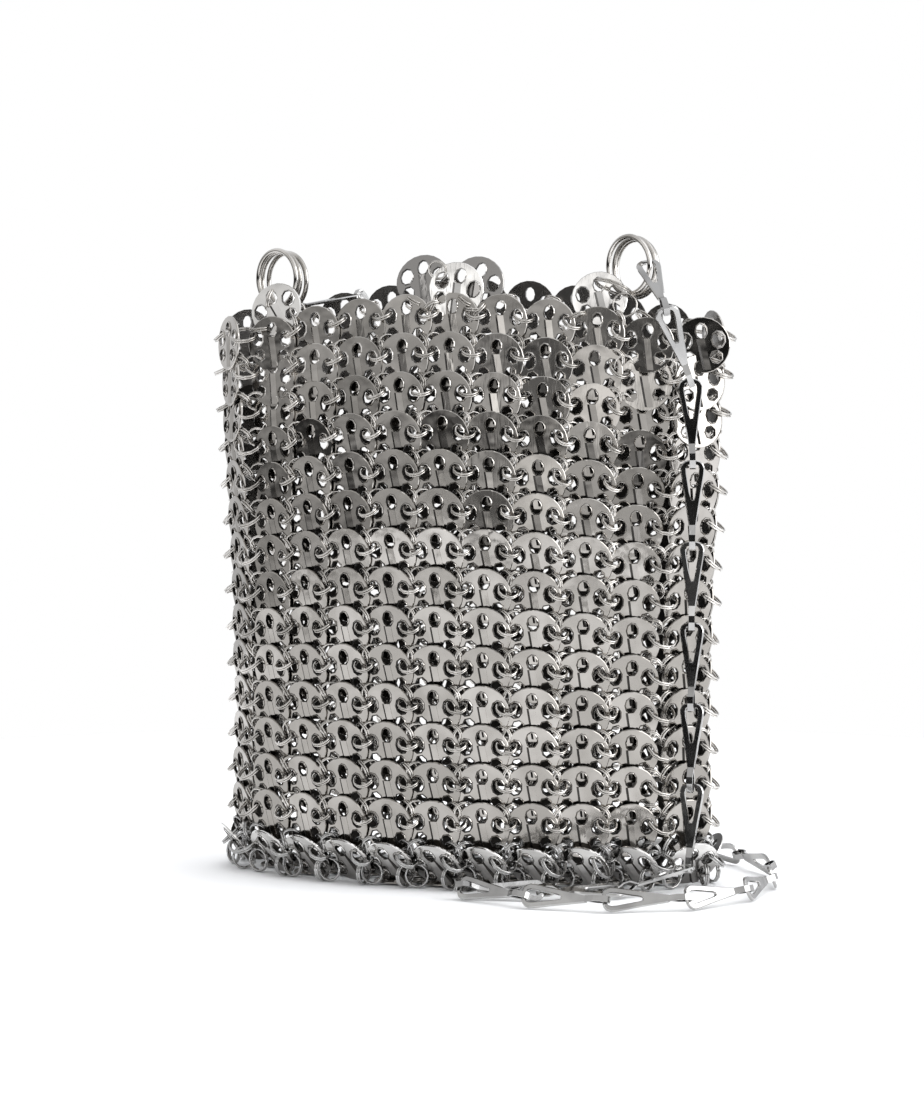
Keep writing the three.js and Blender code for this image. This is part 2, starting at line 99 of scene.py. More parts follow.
# Three large rings at each end of the strap. The first one's foot stands aside, behind and above
# its disc's centre by shares of a ring's diameter; heading is the way the stack runs, in degrees.
# The next rings follow at shares of the wire.
RING_STACKS = [
    {"side": "right", "tab": "strap_tab_right", "aside": 0.43, "behind": 0.196, "above": 0.071,
     "heading": 30, "spacing": [2.45, 1.4], "sideways": -0.8, "down": 0.3},
    {"side": "left", "tab": "strap_tab_left", "aside": -0.1, "behind": 0.335, "above": 0.05,
     "heading": 28, "spacing": [1.4, 2.1], "sideways": -0.4, "down": 0.25},
]

# Route of the strap, from the right rings to the floor and on to the left rings: points of its
# middle line, and the way its flat side looks.
FRONT_RUN = [
    {"at": (74.7, -12.3, 240.4), "face": (0.12, -0.58, 0.78)},
    {"at": (88, -34.4, 221.5), "face": (0.4, -0.9, -0.3)},
    {"at": (94, -21, 195), "face": (0.25, -0.97, 0)},
    {"at": (95, -21, 160), "face": (0.22, -0.97, 0)},
    {"at": (95, -21, 130), "face": (0.18, -0.98, 0)},
    {"at": (95, -21, 100), "face": (0.04, -1, 0)},
    {"at": (95, -21, 70), "face": (0.02, -1, 0)},
    {"at": (95, -21, 38), "face": (0.02, -1, 0)},
    {"at": (93.5, -23, 7), "face": (-0.2, -0.2, 0.95)},
    {"at": (72.5, -43.5, 3.4), "face": (-0.2, -0.5, 0.84)},
    {"at": (45, -57.5, 4), "face": (-0.12, -0.75, 0.65)},
    {"at": (16, -64, 5), "face": (-0.1, -0.84, 0.54)},
]
BACK_RUN = [
    {"at": (16, -64, 5), "face": (-0.3, -0.8, 0.4)},
    {"at": (43, -76, 5), "face": (-0.05, -0.93, 0.36)},
    {"at": (72, -78, 5), "face": (0.25, -0.9, 0.36)},
    {"at": (100, -68, 5), "face": (0.7, -0.6, 0.36)},
    {"at": (119, -44, 5), "face": (0.92, -0.15, 0.36)},
    {"at": (124, -12, 5), "face": (0.92, 0.15, 0.36)},
    {"at": (118, 19, 5), "face": (0.75, 0.5, 0.36)},
    {"at": (101, 45, 5), "face": (0.5, 0.75, 0.4)},
    {"at": (76, 61, 5), "face": (0.25, 0.75, 0.6)},
    {"at": (47, 69.5, 4), "face": (0.05, 0.45, 0.9)},
    {"at": (9.5, 70, 3.2), "face": (0.44, 0.32, 0.84)},
    {"at": (-16.5, 62.3, 18), "face": (0.68, 0.73, 0.1)},
    {"at": (-20.5, 59.5, 48), "face": (0.4, 0.9, 0.05)},
    {"at": (-25, 57.5, 78), "face": (0.2, 0.98, 0.05)},
    {"at": (-30, 55, 108), "face": (0.1, 1, 0.1)},
    {"at": (-37, 49, 156), "face": (0.2, 0.94, 0.2)},
    {"at": (-42, 42, 187), "face": (0.3, 0.92, 0.25)},
    {"at": (-46, 34, 213), "face": (0.45, 0.84, 0.3)},
    {"at": (-51, 24, 227), "face": (-0.12, -0.1, 0.97)},
    {"at": (-75.9, 2.3, 222.4), "face": (-0.12, -0.1, 0.97)},
]

# The lowest hanging links of the front run tip their faces up a little.
LOW_LINK_HEIGHT = 78
LOW_LINK_STEEPNESS = 0.9
LOW_LINK_TIP_DEG = 3.6

# Stamping of one disc: holes by centre and half sizes, and the width of the lip round each.
SIDE_HOLE_X = 6.35
LOW_HOLE_X = 5.3
DISC_HOLES = [
    {"hole": "top", "x": 0, "y": 5.4, "half_width": 2.05, "half_height": 2.85, "lip": 0.5, "sides": 9},
    {"hole": "right", "x": SIDE_HOLE_X, "y": 1.9,
     "half_width": 2.45, "half_height": 3.15, "lip": 0.5, "sides": 9},
    {"hole": "left", "x": -SIDE_HOLE_X, "y": 1.9,
     "half_width": 2.45, "half_height": 3.15, "lip": 0.5, "sides": 9},
    {"hole": "low_right", "x": LOW_HOLE_X, "y": -4.7,
     "half_width": 2.3, "half_height": 2.4, "lip": 0.4, "sides": 7},
    {"hole": "low_left", "x": -LOW_HOLE_X, "y": -4.7,
     "half_width": 2.3, "half_height": 2.4, "lip": 0.4, "sides": 7},
]
PLATE_THICKNESS = 0.7
LIP_HEIGHT = 0.45
LIP_FOOT_HEIGHT = 0.1
GROOVE = 0.2
RIM_BEVEL = 0.26
RIM_BEVEL_DEPTH = RIM_BEVEL * 0.9
RIM_SIDES = 24

# Sections across the raised rib, from left to right, with the steep sides marked; these take the
# near-black back metal as painted shade. What is above the crest height rises towards the rib's lower end.
RIB = [
    {"x": -1.6, "z": -0.3, "steep": False},
    {"x": -1.6, "z": 0.02, "steep": True},
    {"x": -0.75, "z": 0.5, "steep": False},
    {"x": 1.6, "z": 0.08, "steep": False},
    {"x": 1.6, "z": -0.3, "steep": False},
]
BROAD_RIB = [
    {"x": -1.75, "z": -0.3, "steep": False},
    {"x": -1.75, "z": 0.02, "steep": True},
    {"x": -1.2, "z": 0.55, "steep": False},
    {"x": 1.3, "z": 0.45, "steep": True},
    {"x": 1.95, "z": -0.3, "steep": False},
]
BROAD_RIB_RISE = 0.75
RIB_CREST_HEIGHT = 0.4
RIB_UPPER_END = {"y": 2.45, "shift": -0.45}
RIB_LOWER_END = {"y": -9.4, "shift": 1.5}

# Half of a strap link's outline and window, from its head to its waist, by the distance from the
# head's pivot, and the folded tail's bends by the outer side of the strip.
LINK_OUTLINE = [
    {"x": -0.85, "half": 1.7},
    {"x": -0.5, "half": 2.9},
    {"x": 0.45, "half": 4.0},
    {"x": 2.0, "half": LINK_WIDTH / 2},
    {"x": 4.4, "half": LINK_WIDTH / 2 * 0.96},
    {"x": 13.5, "half": 3.0},
    {"x": 24.4, "half": 1.4},
]
LINK_WINDOW = [
    {"x": 0.85, "half": 1.5},
    {"x": 1.3, "half": 2.1},
    {"x": 2.4, "half": 2.4},
    {"x": 4.2, "half": 2.3},
    {"x": 13.0, "half": 0.85},
    {"x": 14.2, "half": 0.45},
]
LINK_TAIL = [
    {"x": 23.6, "z": 0.55, "width": 2.5},
    {"x": 27.3, "z": 2.65, "width": 2.3},
    {"x": 29.9, "z": 2.7, "width": 2.2},
    {"x": 32.9, "z": 1.8, "width": 2.5},
    {"x": 33.45, "z": 0.2, "width": 2.3},
    {"x": 33.0, "z": -1.6, "width": 2.0},
    {"x": 31.0, "z": -2.25, "width": 2.0},
    {"x": 28.0, "z": -2.1, "width": 2.0},
    {"x": 24.6, "z": -0.5, "width": 2.0},
]
LINK_TAIL_THICKNESS = 0.62
LINK_HALF_THICKNESS = 0.6
LINK_SHOULDER_HEIGHT = 0.15
LINK_OUTER_BEVEL = 0.4
LINK_WINDOW_BEVEL = 0.28

# How the drawn discs stand, in degrees: pitch is how far they face down and spread how far single
# discs stray. Tone is painted shade by row, darker in the middle and lower rows; each disc's own
# tarnish is added to it. All of them swing their right edges outward a little.
DISC_TURNS = [
    {"row": 1, "pitch": -4.5, "spread": 2.6, "tone": 0.0},
    {"row": 3, "pitch": -5.5, "spread": 2.0, "tone": 0.0},
    {"row": 4, "pitch": 4.3, "spread": 1.6, "tone": 0.0},
    {"row": 6, "pitch": 6, "spread": 1.4, "tone": 0.1},
    {"row": 9, "pitch": 8, "spread": 1.4, "tone": 0.4},
    {"row": 12, "pitch": 9.3, "spread": 1.4, "tone": 0.42},
    {"row": 14, "pitch": 10, "spread": 1.4, "tone": 0.4},
    {"row": 15, "pitch": 10, "spread": 2.2, "tone": 0.0},
]
MAIL_SWING_DEG = 3

# The bottom row's discs lean their upper edges out. In front they all face a little left of the
# bag's front, and elsewhere a little left of the row.
FRINGE_FACING_DEG = -12.5
FRINGE_TURN_SHARE = 0.3
FRINGE_LEAST_TURN_DEG = 4
FRINGE_BACK_TURN_DEG = 10
FRINGE_LEAN_DEG = 37
FRINGE_ROLL_DEG = 11
FRINGE_DROP = 0.3

# How far the back's upper discs are drawn above the front's; the corner discs share half of it.
BACK_LIFTS = [
    {"row": 1, "lift": 5.0},
    {"row": 2, "lift": 3.4},
    {"row": 3, "lift": 1.8},
    {"row": 5, "lift": 0.0},
]

# The disc at the right end of the rim is turned to the front, in degrees.
RIM_END_TURN = {"tip": 4.5, "swing": 30}

# Where rings pass a disc, in its own plane and behind its face: beside the middle, above it, and out.
SIDE_PASS = {"beside": SIDE_HOLE_X, "above": 3.7, "out": -0.3}
LOW_PASS = {"beside": 5.2, "above": -6.0, "out": -0.9}
FLOOR_PASS = {"beside": 5.2, "above": -6.2, "out": -0.3}
RIM_PASS = {"beside": 5.2, "above": -6.2, "out": -0.4}

# Small wire rings.
SIDE_RING_DIAMETER = 8.7
CORNER_RING_DIAMETER = 12.4
LOW_RING_DIAMETER = 8.3
FRINGE_RING_DIAMETER = 9.6
MAIL_WIRE = 0.8
MAIL_WIRE_APART = 0.86
FRINGE_WIRE = 1.0
MAIL_WIRE_SIDES = 5
MAIL_RING_SEGMENTS = 12
SIDE_RING_SLACK = 1.6
SIDE_RING_FORWARD = 1.2
SIDE_RING_TIP = 0.6
SIDE_RING_DROOP_DEG = (25, 40)
LAST_ROW_DROOP_DEG = (-16, -2)
LOW_RING_TWIST_DEG = (45, 72)
# Rings between the last row and the floor, by the side of the disc that they hang from.
FRINGE_RINGS = {
    -1: {"turn": 0, "forward": 3.0},
    1: {"turn": 70, "forward": -2.5},
}
FRINGE_RING_SWAY_DEG = (8, 34)
FRINGE_RING_LIFT = 0.2

# How much darker single discs are than their row, up to these shares, and how many rows from the rim
# down have the paler backs that show through the mouth, painted lighter as lit there.
TARNISH_SPREAD = 0.55
LAST_ROW_TARNISH_SPREAD = 0.15
PALE_BACK_ROWS = 2

# Rings at the rim.
JOIN_RING_SEGMENTS = 16
JOIN_RING_DROP = 3.6
JOIN_RING_TURN = 0.6
STRAP_JOIN_DIAMETERS = {"right": 10, "left": 6.5}
STACK_HOLE_Y = 6.6
STACK_JOIN_REST = 3.2
STACK_JOIN_LEAST = 8
# Jump rings at a side hole: where they pass it, the way from there to their middle, and two
# directions in their plane.
CLOSURE_JOIN = {
    "hole": (-SIDE_HOLE_X, 2.6, 0), "middle": (-2.3, 1.0, 3.4),
    "first": (1, 0.1, -0.6), "second": (0.5, -0.3, 0.8), "diameter": 8,
}
STRAP_JOIN = {
    "hole": (SIDE_HOLE_X, 0.6, 0), "middle": (3.4, 0.3, -3.6),
    "first": (0.9, 0.3, 0.1), "second": (0, 0.25, 1),
}

# Discs of the bottom: most columns and lines on each side of the middle, and how they lie.
BOTTOM_COLUMNS = 4
BOTTOM_LINES = 3
BOTTOM_DISC_HEIGHT = 1.1
BOTTOM_ROW_PITCH = ROW_PITCH * 0.94
BOTTOM_MARGIN = RADIUS * 0.55
BOTTOM_TURN = {"tip": -2.2, "swing": 1.5}
BOTTOM_TARNISH = 0.5


def table_value(table, key, position, field):
    """Value of a table column between its rows."""
    if position <= table[0][key]:
        return table[0][field]
    for low, high in zip(table, table[1:]):
        if position <= high[key]:
            share = (position - low[key]) / (high[key] - low[key])
            return low[field] + (high[field] - low[field]) * share
    return table[-1][field]


def half_turn_of_arc(belly):
    """Half the turn of an arc of discs whose swell is belly."""
    spans = FRONT_COLUMNS - 1
    low, high = 1e-4, math.pi / 2
    for _ in range(50):
        middle = (low + high) / 2
        radius = COLUMN_PITCH / (2 * math.sin(middle / spans))
        if radius * (1 - math.cos(middle)) < belly:
            low = middle
        else:
            high = middle
    return low


def row_plan(row):
    """Place, heading and slack of each disc of a row, seen from above."""
    belly = FRONT_SWELL * table_value(ROW_FORMS, "row", row, "belly")
    depth = SIDE_DEPTH * table_value(ROW_FORMS, "row", row, "depth")
    half_turn = half_turn_of_arc(belly)
    arc_radius = COLUMN_PITCH / (2 * math.sin(half_turn / (FRONT_COLUMNS - 1)))
    half = (FRONT_COLUMNS - 1) / 2
    front = []
    for i in range(FRONT_COLUMNS):
        share = (i - half) / half
        turn = half_turn * share
        x = arc_radius * math.sin(turn)
        y = -(depth + belly) + arc_radius * (1 - math.cos(turn))
        front.append((x, y, turn, share * share))
    corner_pitch = CORNER_PITCH * table_value(ROW_FORMS, "row", row, "corner")
    reach = math.sqrt(corner_pitch**2 - (depth - GUSSET_HALF_SPACING) ** 2)
    corner_x = front[-1][0] + reach
    yaw = math.radians(CORNER_YAW_DEG)
    right_side = front + [(corner_x, -GUSSET_HALF_SPACING, yaw, 1)]
    turned_back = [(x, -y, math.pi - heading, slack) for x, y, heading, slack in reversed(right_side)]
    left_back = (-corner_x, GUSSET_HALF_SPACING, math.pi + yaw, 1)
    left_corner = (-corner_x, -GUSSET_HALF_SPACING, -yaw, 1)
    return right_side + turned_back + [left_back, left_corner]


def row_height(row, slack):
    last_lean = table_value(ROW_FORMS, "row", ROW_COUNT, "lean")
    last_height = RADIUS / math.hypot(1, SHINGLE_SLOPE + last_lean) + FLOOR_GAP
    return last_height + (ROW_COUNT - row) * ROW_PITCH * (1 - SIDE_SLACK * slack)


class Seat:
    """Where a flat piece sits: its centre, and the directions along, up and outward."""

    def __init__(self, centre, along, up):
        self.centre = Vector(centre)
        self.along = Vector(along).normalized()
        self.up = Vector(up).normalized()
        self.outward = self.along.cross(self.up).normalized()

    def at(self, along, up, outward):
        return self.centre + self.along * along + self.up * up + self.outward * outward

    def passing(self, where, side):
        """Point where a ring passes the piece, on its right side for 1 and its left for -1."""
        return self.at(side * where["beside"], where["above"], where["out"])

    def turned(self, tip=0.0, swing=0.0, roll=0.0):
        """tip brings the upper edge outward, swing the edge that lies along, roll turns it in its plane."""
        turn = (
            Matrix.Rotation(math.radians(roll), 3, self.outward)
            @ Matrix.Rotation(math.radians(-swing), 3, self.up)
            @ Matrix.Rotation(math.radians(tip), 3, self.along)
        )
        return Seat(self.centre, turn @ self.along, turn @ self.up)

    def pitch(self):
        """How far the piece faces down, in degrees."""
        return math.degrees(math.asin(-self.outward.z))

    def euler(self):
        columns = Matrix((self.along, self.up, self.outward)).transposed()
        return columns.to_euler()


def row_seats(row):
    plan = row_plan(row)
    above = row_plan(max(row - 1, 1))
    below = row_plan(min(row + 1, ROW_COUNT - 1))
    lean = table_value(ROW_FORMS, "row", row, "lean")
    span = max(min(row + 1, ROW_COUNT - 1) - max(row - 1, 1), 1)
    seats = []
    for here, over, under in zip(plan, above, below):
        x, y, heading, slack = here
        along = Vector((math.cos(heading), math.sin(heading), 0))
        outward = along.cross(UP)
        growth = (under[0] - over[0]) * outward.x + (under[1] - over[1]) * outward.y
        slope = SHINGLE_SLOPE + lean - growth / (span * ROW_PITCH)
        up = UP + outward * slope
        seats.append(Seat((x, y, row_height(row, slack)), along, up))
    return seats


# ---------------------------------------------------------------- meshes


class Build:
    """Points and faces of one mesh. Faces that share a strip number above 0 are smooth together."""

    def __init__(self):
        self.points = []
        self.faces = []
        self.strips = []
        self.backs = []

    def point(self, p):
        self.points.append(tuple(p))
        return len(self.points) - 1

    def face(self, corners, strip=0, back=False):
        self.faces.append(tuple(corners))
        self.strips.append(strip)
        self.backs.append(back)

    def rings(self, outlines, height):
        """Point numbers of flat outlines at one height."""
        return [[self.point((x, y, height)) for x, y in outline] for outline in outlines]

    def loft(self, rings, strip=0, back=False):
        """Quads between equal rings of point numbers."""
        for low, high in zip(rings, rings[1:]):
            count = len(low)
            for i in range(count):
                j = (i + 1) % count
                self.face((low[i], low[j], high[j], high[i]), strip, back)

    def mesh(self, name):
        mesh = bpy.data.meshes.new(name)
        mesh.from_pydata([tuple(c * MM for c in p) for p in self.points], [], self.faces)
        mesh.update()
        edge_strips = {}
        for polygon in mesh.polygons:
            polygon.use_smooth = True
            for key in polygon.edge_keys:
                edge_strips.setdefault(key, []).append(self.strips[polygon.index])
        sharp = mesh.attributes.new("sharp_edge", "BOOLEAN", "EDGE")
        for edge in mesh.edges:
            kinds = edge_strips.get(edge.key, [])
            smooth = len(kinds) == 2 and kinds[0] == kinds[1] and kinds[0] > 0
            sharp.data[edge.index].value = not smooth
        # Faces marked back take the near-black back metal: the discs' backs, and painted shade on the hole
        # walls, grooves and the rib's steep sides.
        back = mesh.attributes.new("back", "BOOLEAN", "FACE")
        back.data.foreach_set("value", self.backs)
        return mesh


def flat_faces(outline, holes):
    """A flat outline with holes cut into few faces: lists of (ring, number) corners."""
    rings = [outline] + holes
    flat = [[Vector((x, y, 0)) for x, y in ring] for ring in rings]
    triangles = geometry.tessellate_polygon(flat)
    where = [(r, i) for r, ring in enumerate(rings) for i in range(len(ring))]
    work = bmesh.new()
    corners = [work.verts.new((*rings[r][i], 0)) for r, i in where]
    for triangle in triangles:
        work.faces.new([corners[i] for i in triangle])
    work.verts.index_update()
    bmesh.ops.recalc_face_normals(work, faces=work.faces)
    bmesh.ops.dissolve_limit(work, angle_limit=0.01, verts=[], edges=work.edges, delimit=set())
    work.verts.index_update()
    work.faces.ensure_lookup_table()
    places = {v: where[i] for i, v in enumerate(corners) if v.is_valid}
    found = []
    for face in work.faces:
        loop = [places[v] for v in face.verts]
        area = sum(
            rings[a[0]][a[1]][0] * rings[b[0]][b[1]][1] - rings[b[0]][b[1]][0] * rings[a[0]][a[1]][1]
            for a, b in zip(loop, loop[1:] + loop[:1])
        )
        found.append(loop if area > 0 else loop[::-1])
    work.free()
    return found


def oval(x, y, half_width, half_height, sides, grow=0.0):
    return [
        (
            x + (half_width + grow) * math.cos(2 * math.pi * (k + 0.5) / sides),
            y + (half_height + grow) * math.sin(2 * math.pi * (k + 0.5) / sides),
        )
        for k in range(sides)
    ]


# Strip numbers of a disc's edge and its bevel; those of the lipped holes run from 2.
EDGE_STRIP = 1
BEVEL_STRIP = 40


def disc_mesh(rib=RIB, rise=0.0):
    """One stamped disc: front face on z = 0, lipped holes and the raised rib below the top hole.
    rise is how much higher the rib stands at its lower end."""
    build = Build()

    def ovals(grow):
        return [
            oval(h["x"], h["y"], h["half_width"], h["half_height"], h["sides"], grow(h)) for h in DISC_HOLES
        ]

    rim = oval(0, 0, RADIUS, RADIUS, RIM_SIDES)
    face_rim = oval(0, 0, RADIUS, RADIUS, RIM_SIDES, -RIM_BEVEL)
    outer = ovals(lambda h: h["lip"])
    inner = ovals(lambda h: 0.0)
    front_rings = build.rings([face_rim] + outer, 0)
    back_rings = build.rings([rim] + inner, -PLATE_THICKNESS)
    lip_rings = build.rings(inner, LIP_HEIGHT)
    foot_rings = build.rings(ovals(lambda h: h["lip"] - GROOVE), LIP_FOOT_HEIGHT)
    shoulder = build.rings([rim], -RIM_BEVEL_DEPTH)[0]
    for loop in flat_faces(face_rim, outer):
        build.face([front_rings[r][i] for r, i in loop])
    build.loft([shoulder, front_rings[0]], BEVEL_STRIP)
    for loop in flat_faces(rim, inner):
        build.face([back_rings[r][i] for r, i in reversed(loop)], 0, True)
    build.loft([back_rings[0], shoulder], EDGE_STRIP)
    # The groove round each lip and the hole's inner wall are marked back: painted shade in the near-black back
    # metal.
    for k, lip in enumerate(lip_rings):
        build.loft([front_rings[k + 1], foot_rings[k]], 0, True)
        build.loft([foot_rings[k], lip], 2 + 2 * k)
        build.loft([lip, back_rings[k + 1]], 3 + 2 * k, True)
    # The rib: a low ridge whose left side is steep and whose right side is a broad facet. Its steep
    # sides are marked back, painted shade in the near-black metal.
    ends = []
    for end, lift in ((RIB_UPPER_END, 0), (RIB_LOWER_END, rise)):
        heights = [c["z"] + (lift if c["z"] > RIB_CREST_HEIGHT else 0) for c in rib]
        ends.append([build.point((c["x"] + end["shift"], end["y"], z)) for c, z in zip(rib, heights)])
    for side, corner in enumerate(rib):
        turn = (side + 1) % len(rib)
        build.face((ends[0][side], ends[0][turn], ends[1][turn], ends[1][side]), 0, corner["steep"])
    build.face(ends[0])
    build.face(ends[1][::-1])
    return build.mesh("stamped_disc")


def set_closed_normals(mesh):
    work = bmesh.new()
    work.from_mesh(mesh)
    bmesh.ops.recalc_face_normals(work, faces=work.faces)
    work.to_mesh(mesh)
    work.free()


def link_mesh():
    """One strap link: x runs from its head's pivot to the next one's, its face on +z."""
    build = Build()

    def both_sides(table):
        half = [(row["x"], row["half"]) for row in table]
        return [(x, -y) for x, y in half] + [(x, y) for x, y in reversed(half)]

    def inset(ring, by):
        shifted = []
        count = len(ring)
        for i, (x, y) in enumerate(ring):
            before_x, before_y = ring[i - 1]
            after_x, after_y = ring[(i + 1) % count]
            n1 = Vector((y - before_y, before_x - x)).normalized()
            n2 = Vector((after_y - y, x - after_x)).normalized()
            n = (n1 + n2).normalized()
            reach = by / max(n.dot(n1), 0.5)
            shifted.append((x + n.x * reach, y + n.y * reach))
        return shifted

    outline = both_sides(LINK_OUTLINE)
    window = both_sides(LINK_WINDOW)
    face_out = inset(outline, -LINK_OUTER_BEVEL)
    face_in = inset(window, LINK_WINDOW_BEVEL)
    back = build.rings((outline, window), -LINK_HALF_THICKNESS)
    shoulder = build.rings((outline, window), LINK_SHOULDER_HEIGHT)
    top = build.rings((face_out, face_in), LINK_HALF_THICKNESS)
    for loop in flat_faces(face_out, [face_in]):
        build.face([top[r][i] for r, i in loop])
    for loop in flat_faces(outline, [window]):
        build.face([back[r][i] for r, i in reversed(loop)])
    for k in (0, 1):
        build.loft([back[k], shoulder[k]], 1 + 2 * k)
        build.loft([shoulder[k], top[k]], 2 + 2 * k)
    # The folded tail: outer and inner side of a strip bent round the next link's head.
    outer = [(bend["x"], bend["z"]) for bend in LINK_TAIL]
    inner = []
    for i, (x, z) in enumerate(outer):
        before_x, before_z = outer[i - 1] if i else outer[0]
        after_x, after_z = outer[i + 1] if i + 1 < len(outer) else outer[-1]
        run = Vector((after_x - before_x, after_z - before_z)).normalized()
        inner.append((x + run.y * LINK_TAIL_THICKNESS, z - run.x * LINK_TAIL_THICKNESS))
    sections = []
    for bend, (outer_x, outer_z), (inner_x, inner_z) in zip(LINK_TAIL, outer, inner):
        half = bend["width"] / 2
        corners = (
            (outer_x, half, outer_z), (outer_x, -half, outer_z),
            (inner_x, -half, inner_z), (inner_x, half, inner_z),
        )
        sections.append([build.point(corner) for corner in corners])
    build.loft(sections, 0)
    build.face(sections[0][::-1])
    build.face(sections[-1])
    mesh = build.mesh("strap_link_shape")
    set_closed_normals(mesh)
    return mesh


# ---------------------------------------------------------------- materials


def socket(group, name, kind, way, value=None):
    made = group.interface.new_socket(name=name, in_out=way, socket_type=kind)
    if value is not None:
        made.default_value = value
    return made


class Wiring:
    """Makes and joins the nodes of one tree."""

    def __init__(self, tree):
        self.nodes = tree.nodes
        self.links = tree.links

    def feed(self, node, inputs):
        """Gives inputs of a node, by name or number, a value or another node's output."""
        for key, value in inputs.items():
            if isinstance(value, bpy.types.NodeSocket):
                self.links.new(value, node.inputs[key])
            else:
                node.inputs[key].default_value = value
        return node

    def add(self, kind, inputs=None):
        return self.feed(self.nodes.new(kind), inputs or {})

    def maths(self, operation, *values):
        node = self.nodes.new("ShaderNodeMath")
        node.operation = operation
        return self.feed(node, dict(enumerate(values))).outputs[0]

    def vector_maths(self, operation, inputs):
        node = self.nodes.new("ShaderNodeVectorMath")
        node.operation = operation
        return self.feed(node, inputs).outputs

    def ranged(self, value, low, high, least=0.0, most=1.0):
        """least where the value is low, most where it is high, and even steps between."""
        ends = {"From Min": low, "From Max": high, "To Min": least, "To Max": most}
        return self.add("ShaderNodeMapRange", {"Value": value, **ends}).outputs["Result"]

    def mix(self, factor, first, second, way="MIX"):
        node = self.nodes.new("ShaderNodeMix")
        node.data_type = "RGBA"
        node.blend_type = way
        return self.feed(node, {"Factor": factor, "A": first, "B": second}).outputs["Result"]

    def attribute(self, name, kind):
        node = self.nodes.new("GeometryNodeInputNamedAttribute")
        node.data_type = kind
        return self.feed(node, {"Name": name}).outputs["Attribute"]


def cloud_group():
    """Soft smudges and fine scratches on polished metal: two masks, from object coordinates."""
    group = bpy.data.node_groups.new("metal_smudges", "ShaderNodeTree")
    socket(group, "Coordinates", "NodeSocketVector", "INPUT")
    socket(group, "Smudge Scale", "NodeSocketFloat", "INPUT", 90.0)
    socket(group, "Scratch Scale", "NodeSocketFloat", "INPUT", 900.0)
    socket(group, "Smudge Mask", "NodeSocketFloat", "OUTPUT")
    socket(group, "Scratch Mask", "NodeSocketFloat", "OUTPUT")
    wiring = Wiring(group)
    given, result = wiring.add("NodeGroupInput").outputs, wiring.add("NodeGroupOutput")
    smudge = wiring.add("ShaderNodeTexNoise", {
        "Vector": given["Coordinates"], "Scale": given["Smudge Scale"], "Detail": 2.0,
    })
    stretch = wiring.add("ShaderNodeMapping", {"Vector": given["Coordinates"], "Scale": SCRATCH_STRETCH})
    scratch = wiring.add("ShaderNodeTexNoise", {
        "Vector": stretch.outputs["Vector"], "Scale": given["Scratch Scale"], "Detail": 1.0, "Roughness": 0.7,
    })
    wiring.feed(result, {
        "Smudge Mask": wiring.ranged(smudge.outputs["Fac"], *SMUDGE_EDGES),
        "Scratch Mask": wiring.ranged(scratch.outputs["Fac"], *SCRATCH_EDGES),
    })
    return group


# Polished metals of the bag: pale and dark base colours, roughness where clean and where smudged,
# and strength of the bump. Metals of the discs also read each disc's own tone.
METALS = [
    {"metal": "silver_tone_discs", "pale": (0.555, 0.53, 0.5), "dark": (0.32, 0.303, 0.28),
     "clean": 0.06, "smudged": 0.16, "bump": 0.25, "by_disc": True},
    # The next metal is the disc metal painted paler, which on the bottom row is painted light.
    {"metal": "silver_tone_rim_discs", "pale": (0.9, 0.885, 0.86), "dark": (0.30, 0.29, 0.28),
     "clean": 0.06, "smudged": 0.15, "bump": 0.25, "by_disc": True},
    # The next two are painted shade, not finishes: near-black on the discs' backs, hole walls, grooves and the
    # rib's steep sides, which lie in shade, and lighter on the top rows' backs, lit through the mouth.
    {"metal": "unpolished_backs", "pale": (0.07, 0.066, 0.061), "dark": (0.04, 0.038, 0.035),
     "clean": 0.25, "smudged": 0.4, "bump": 0.25, "by_disc": False},
    {"metal": "dull_rim_backs", "pale": (0.30, 0.29, 0.28), "dark": (0.2, 0.194, 0.187),
     "clean": 0.2, "smudged": 0.35, "bump": 0.25, "by_disc": False},
    {"metal": "silver_tone_wire", "pale": (0.74, 0.713, 0.68), "dark": (0.42, 0.402, 0.375),
     "clean": 0.06, "smudged": 0.16, "bump": 0.1, "by_disc": False},
    {"metal": "dark_silver_links", "pale": (0.5, 0.495, 0.485), "dark": (0.36, 0.355, 0.35),
     "clean": 0.05, "smudged": 0.12, "bump": 0.08, "by_disc": False},
]
# Noise from which a smudge or scratch starts and is full.
SMUDGE_EDGES = (0.35, 0.65)
SCRATCH_EDGES = (0.5, 0.75)
SCRATCH_STRETCH = (1.0, 1.0, 0.12)
SMUDGE_SHARE = 0.35
SCRATCH_SHARE = 0.12
RELIEF_DEPTH = 0.0003

# Painted shade: the discs near the floor are darkened along their lower edges, where they mirror
# the shadowed floor; heights in metres.
SHADE_BELOW = 0.015
SHADE_DARKEST_AT = 0.004
LOW_EDGE_PAINTED_SHADE = 1.2


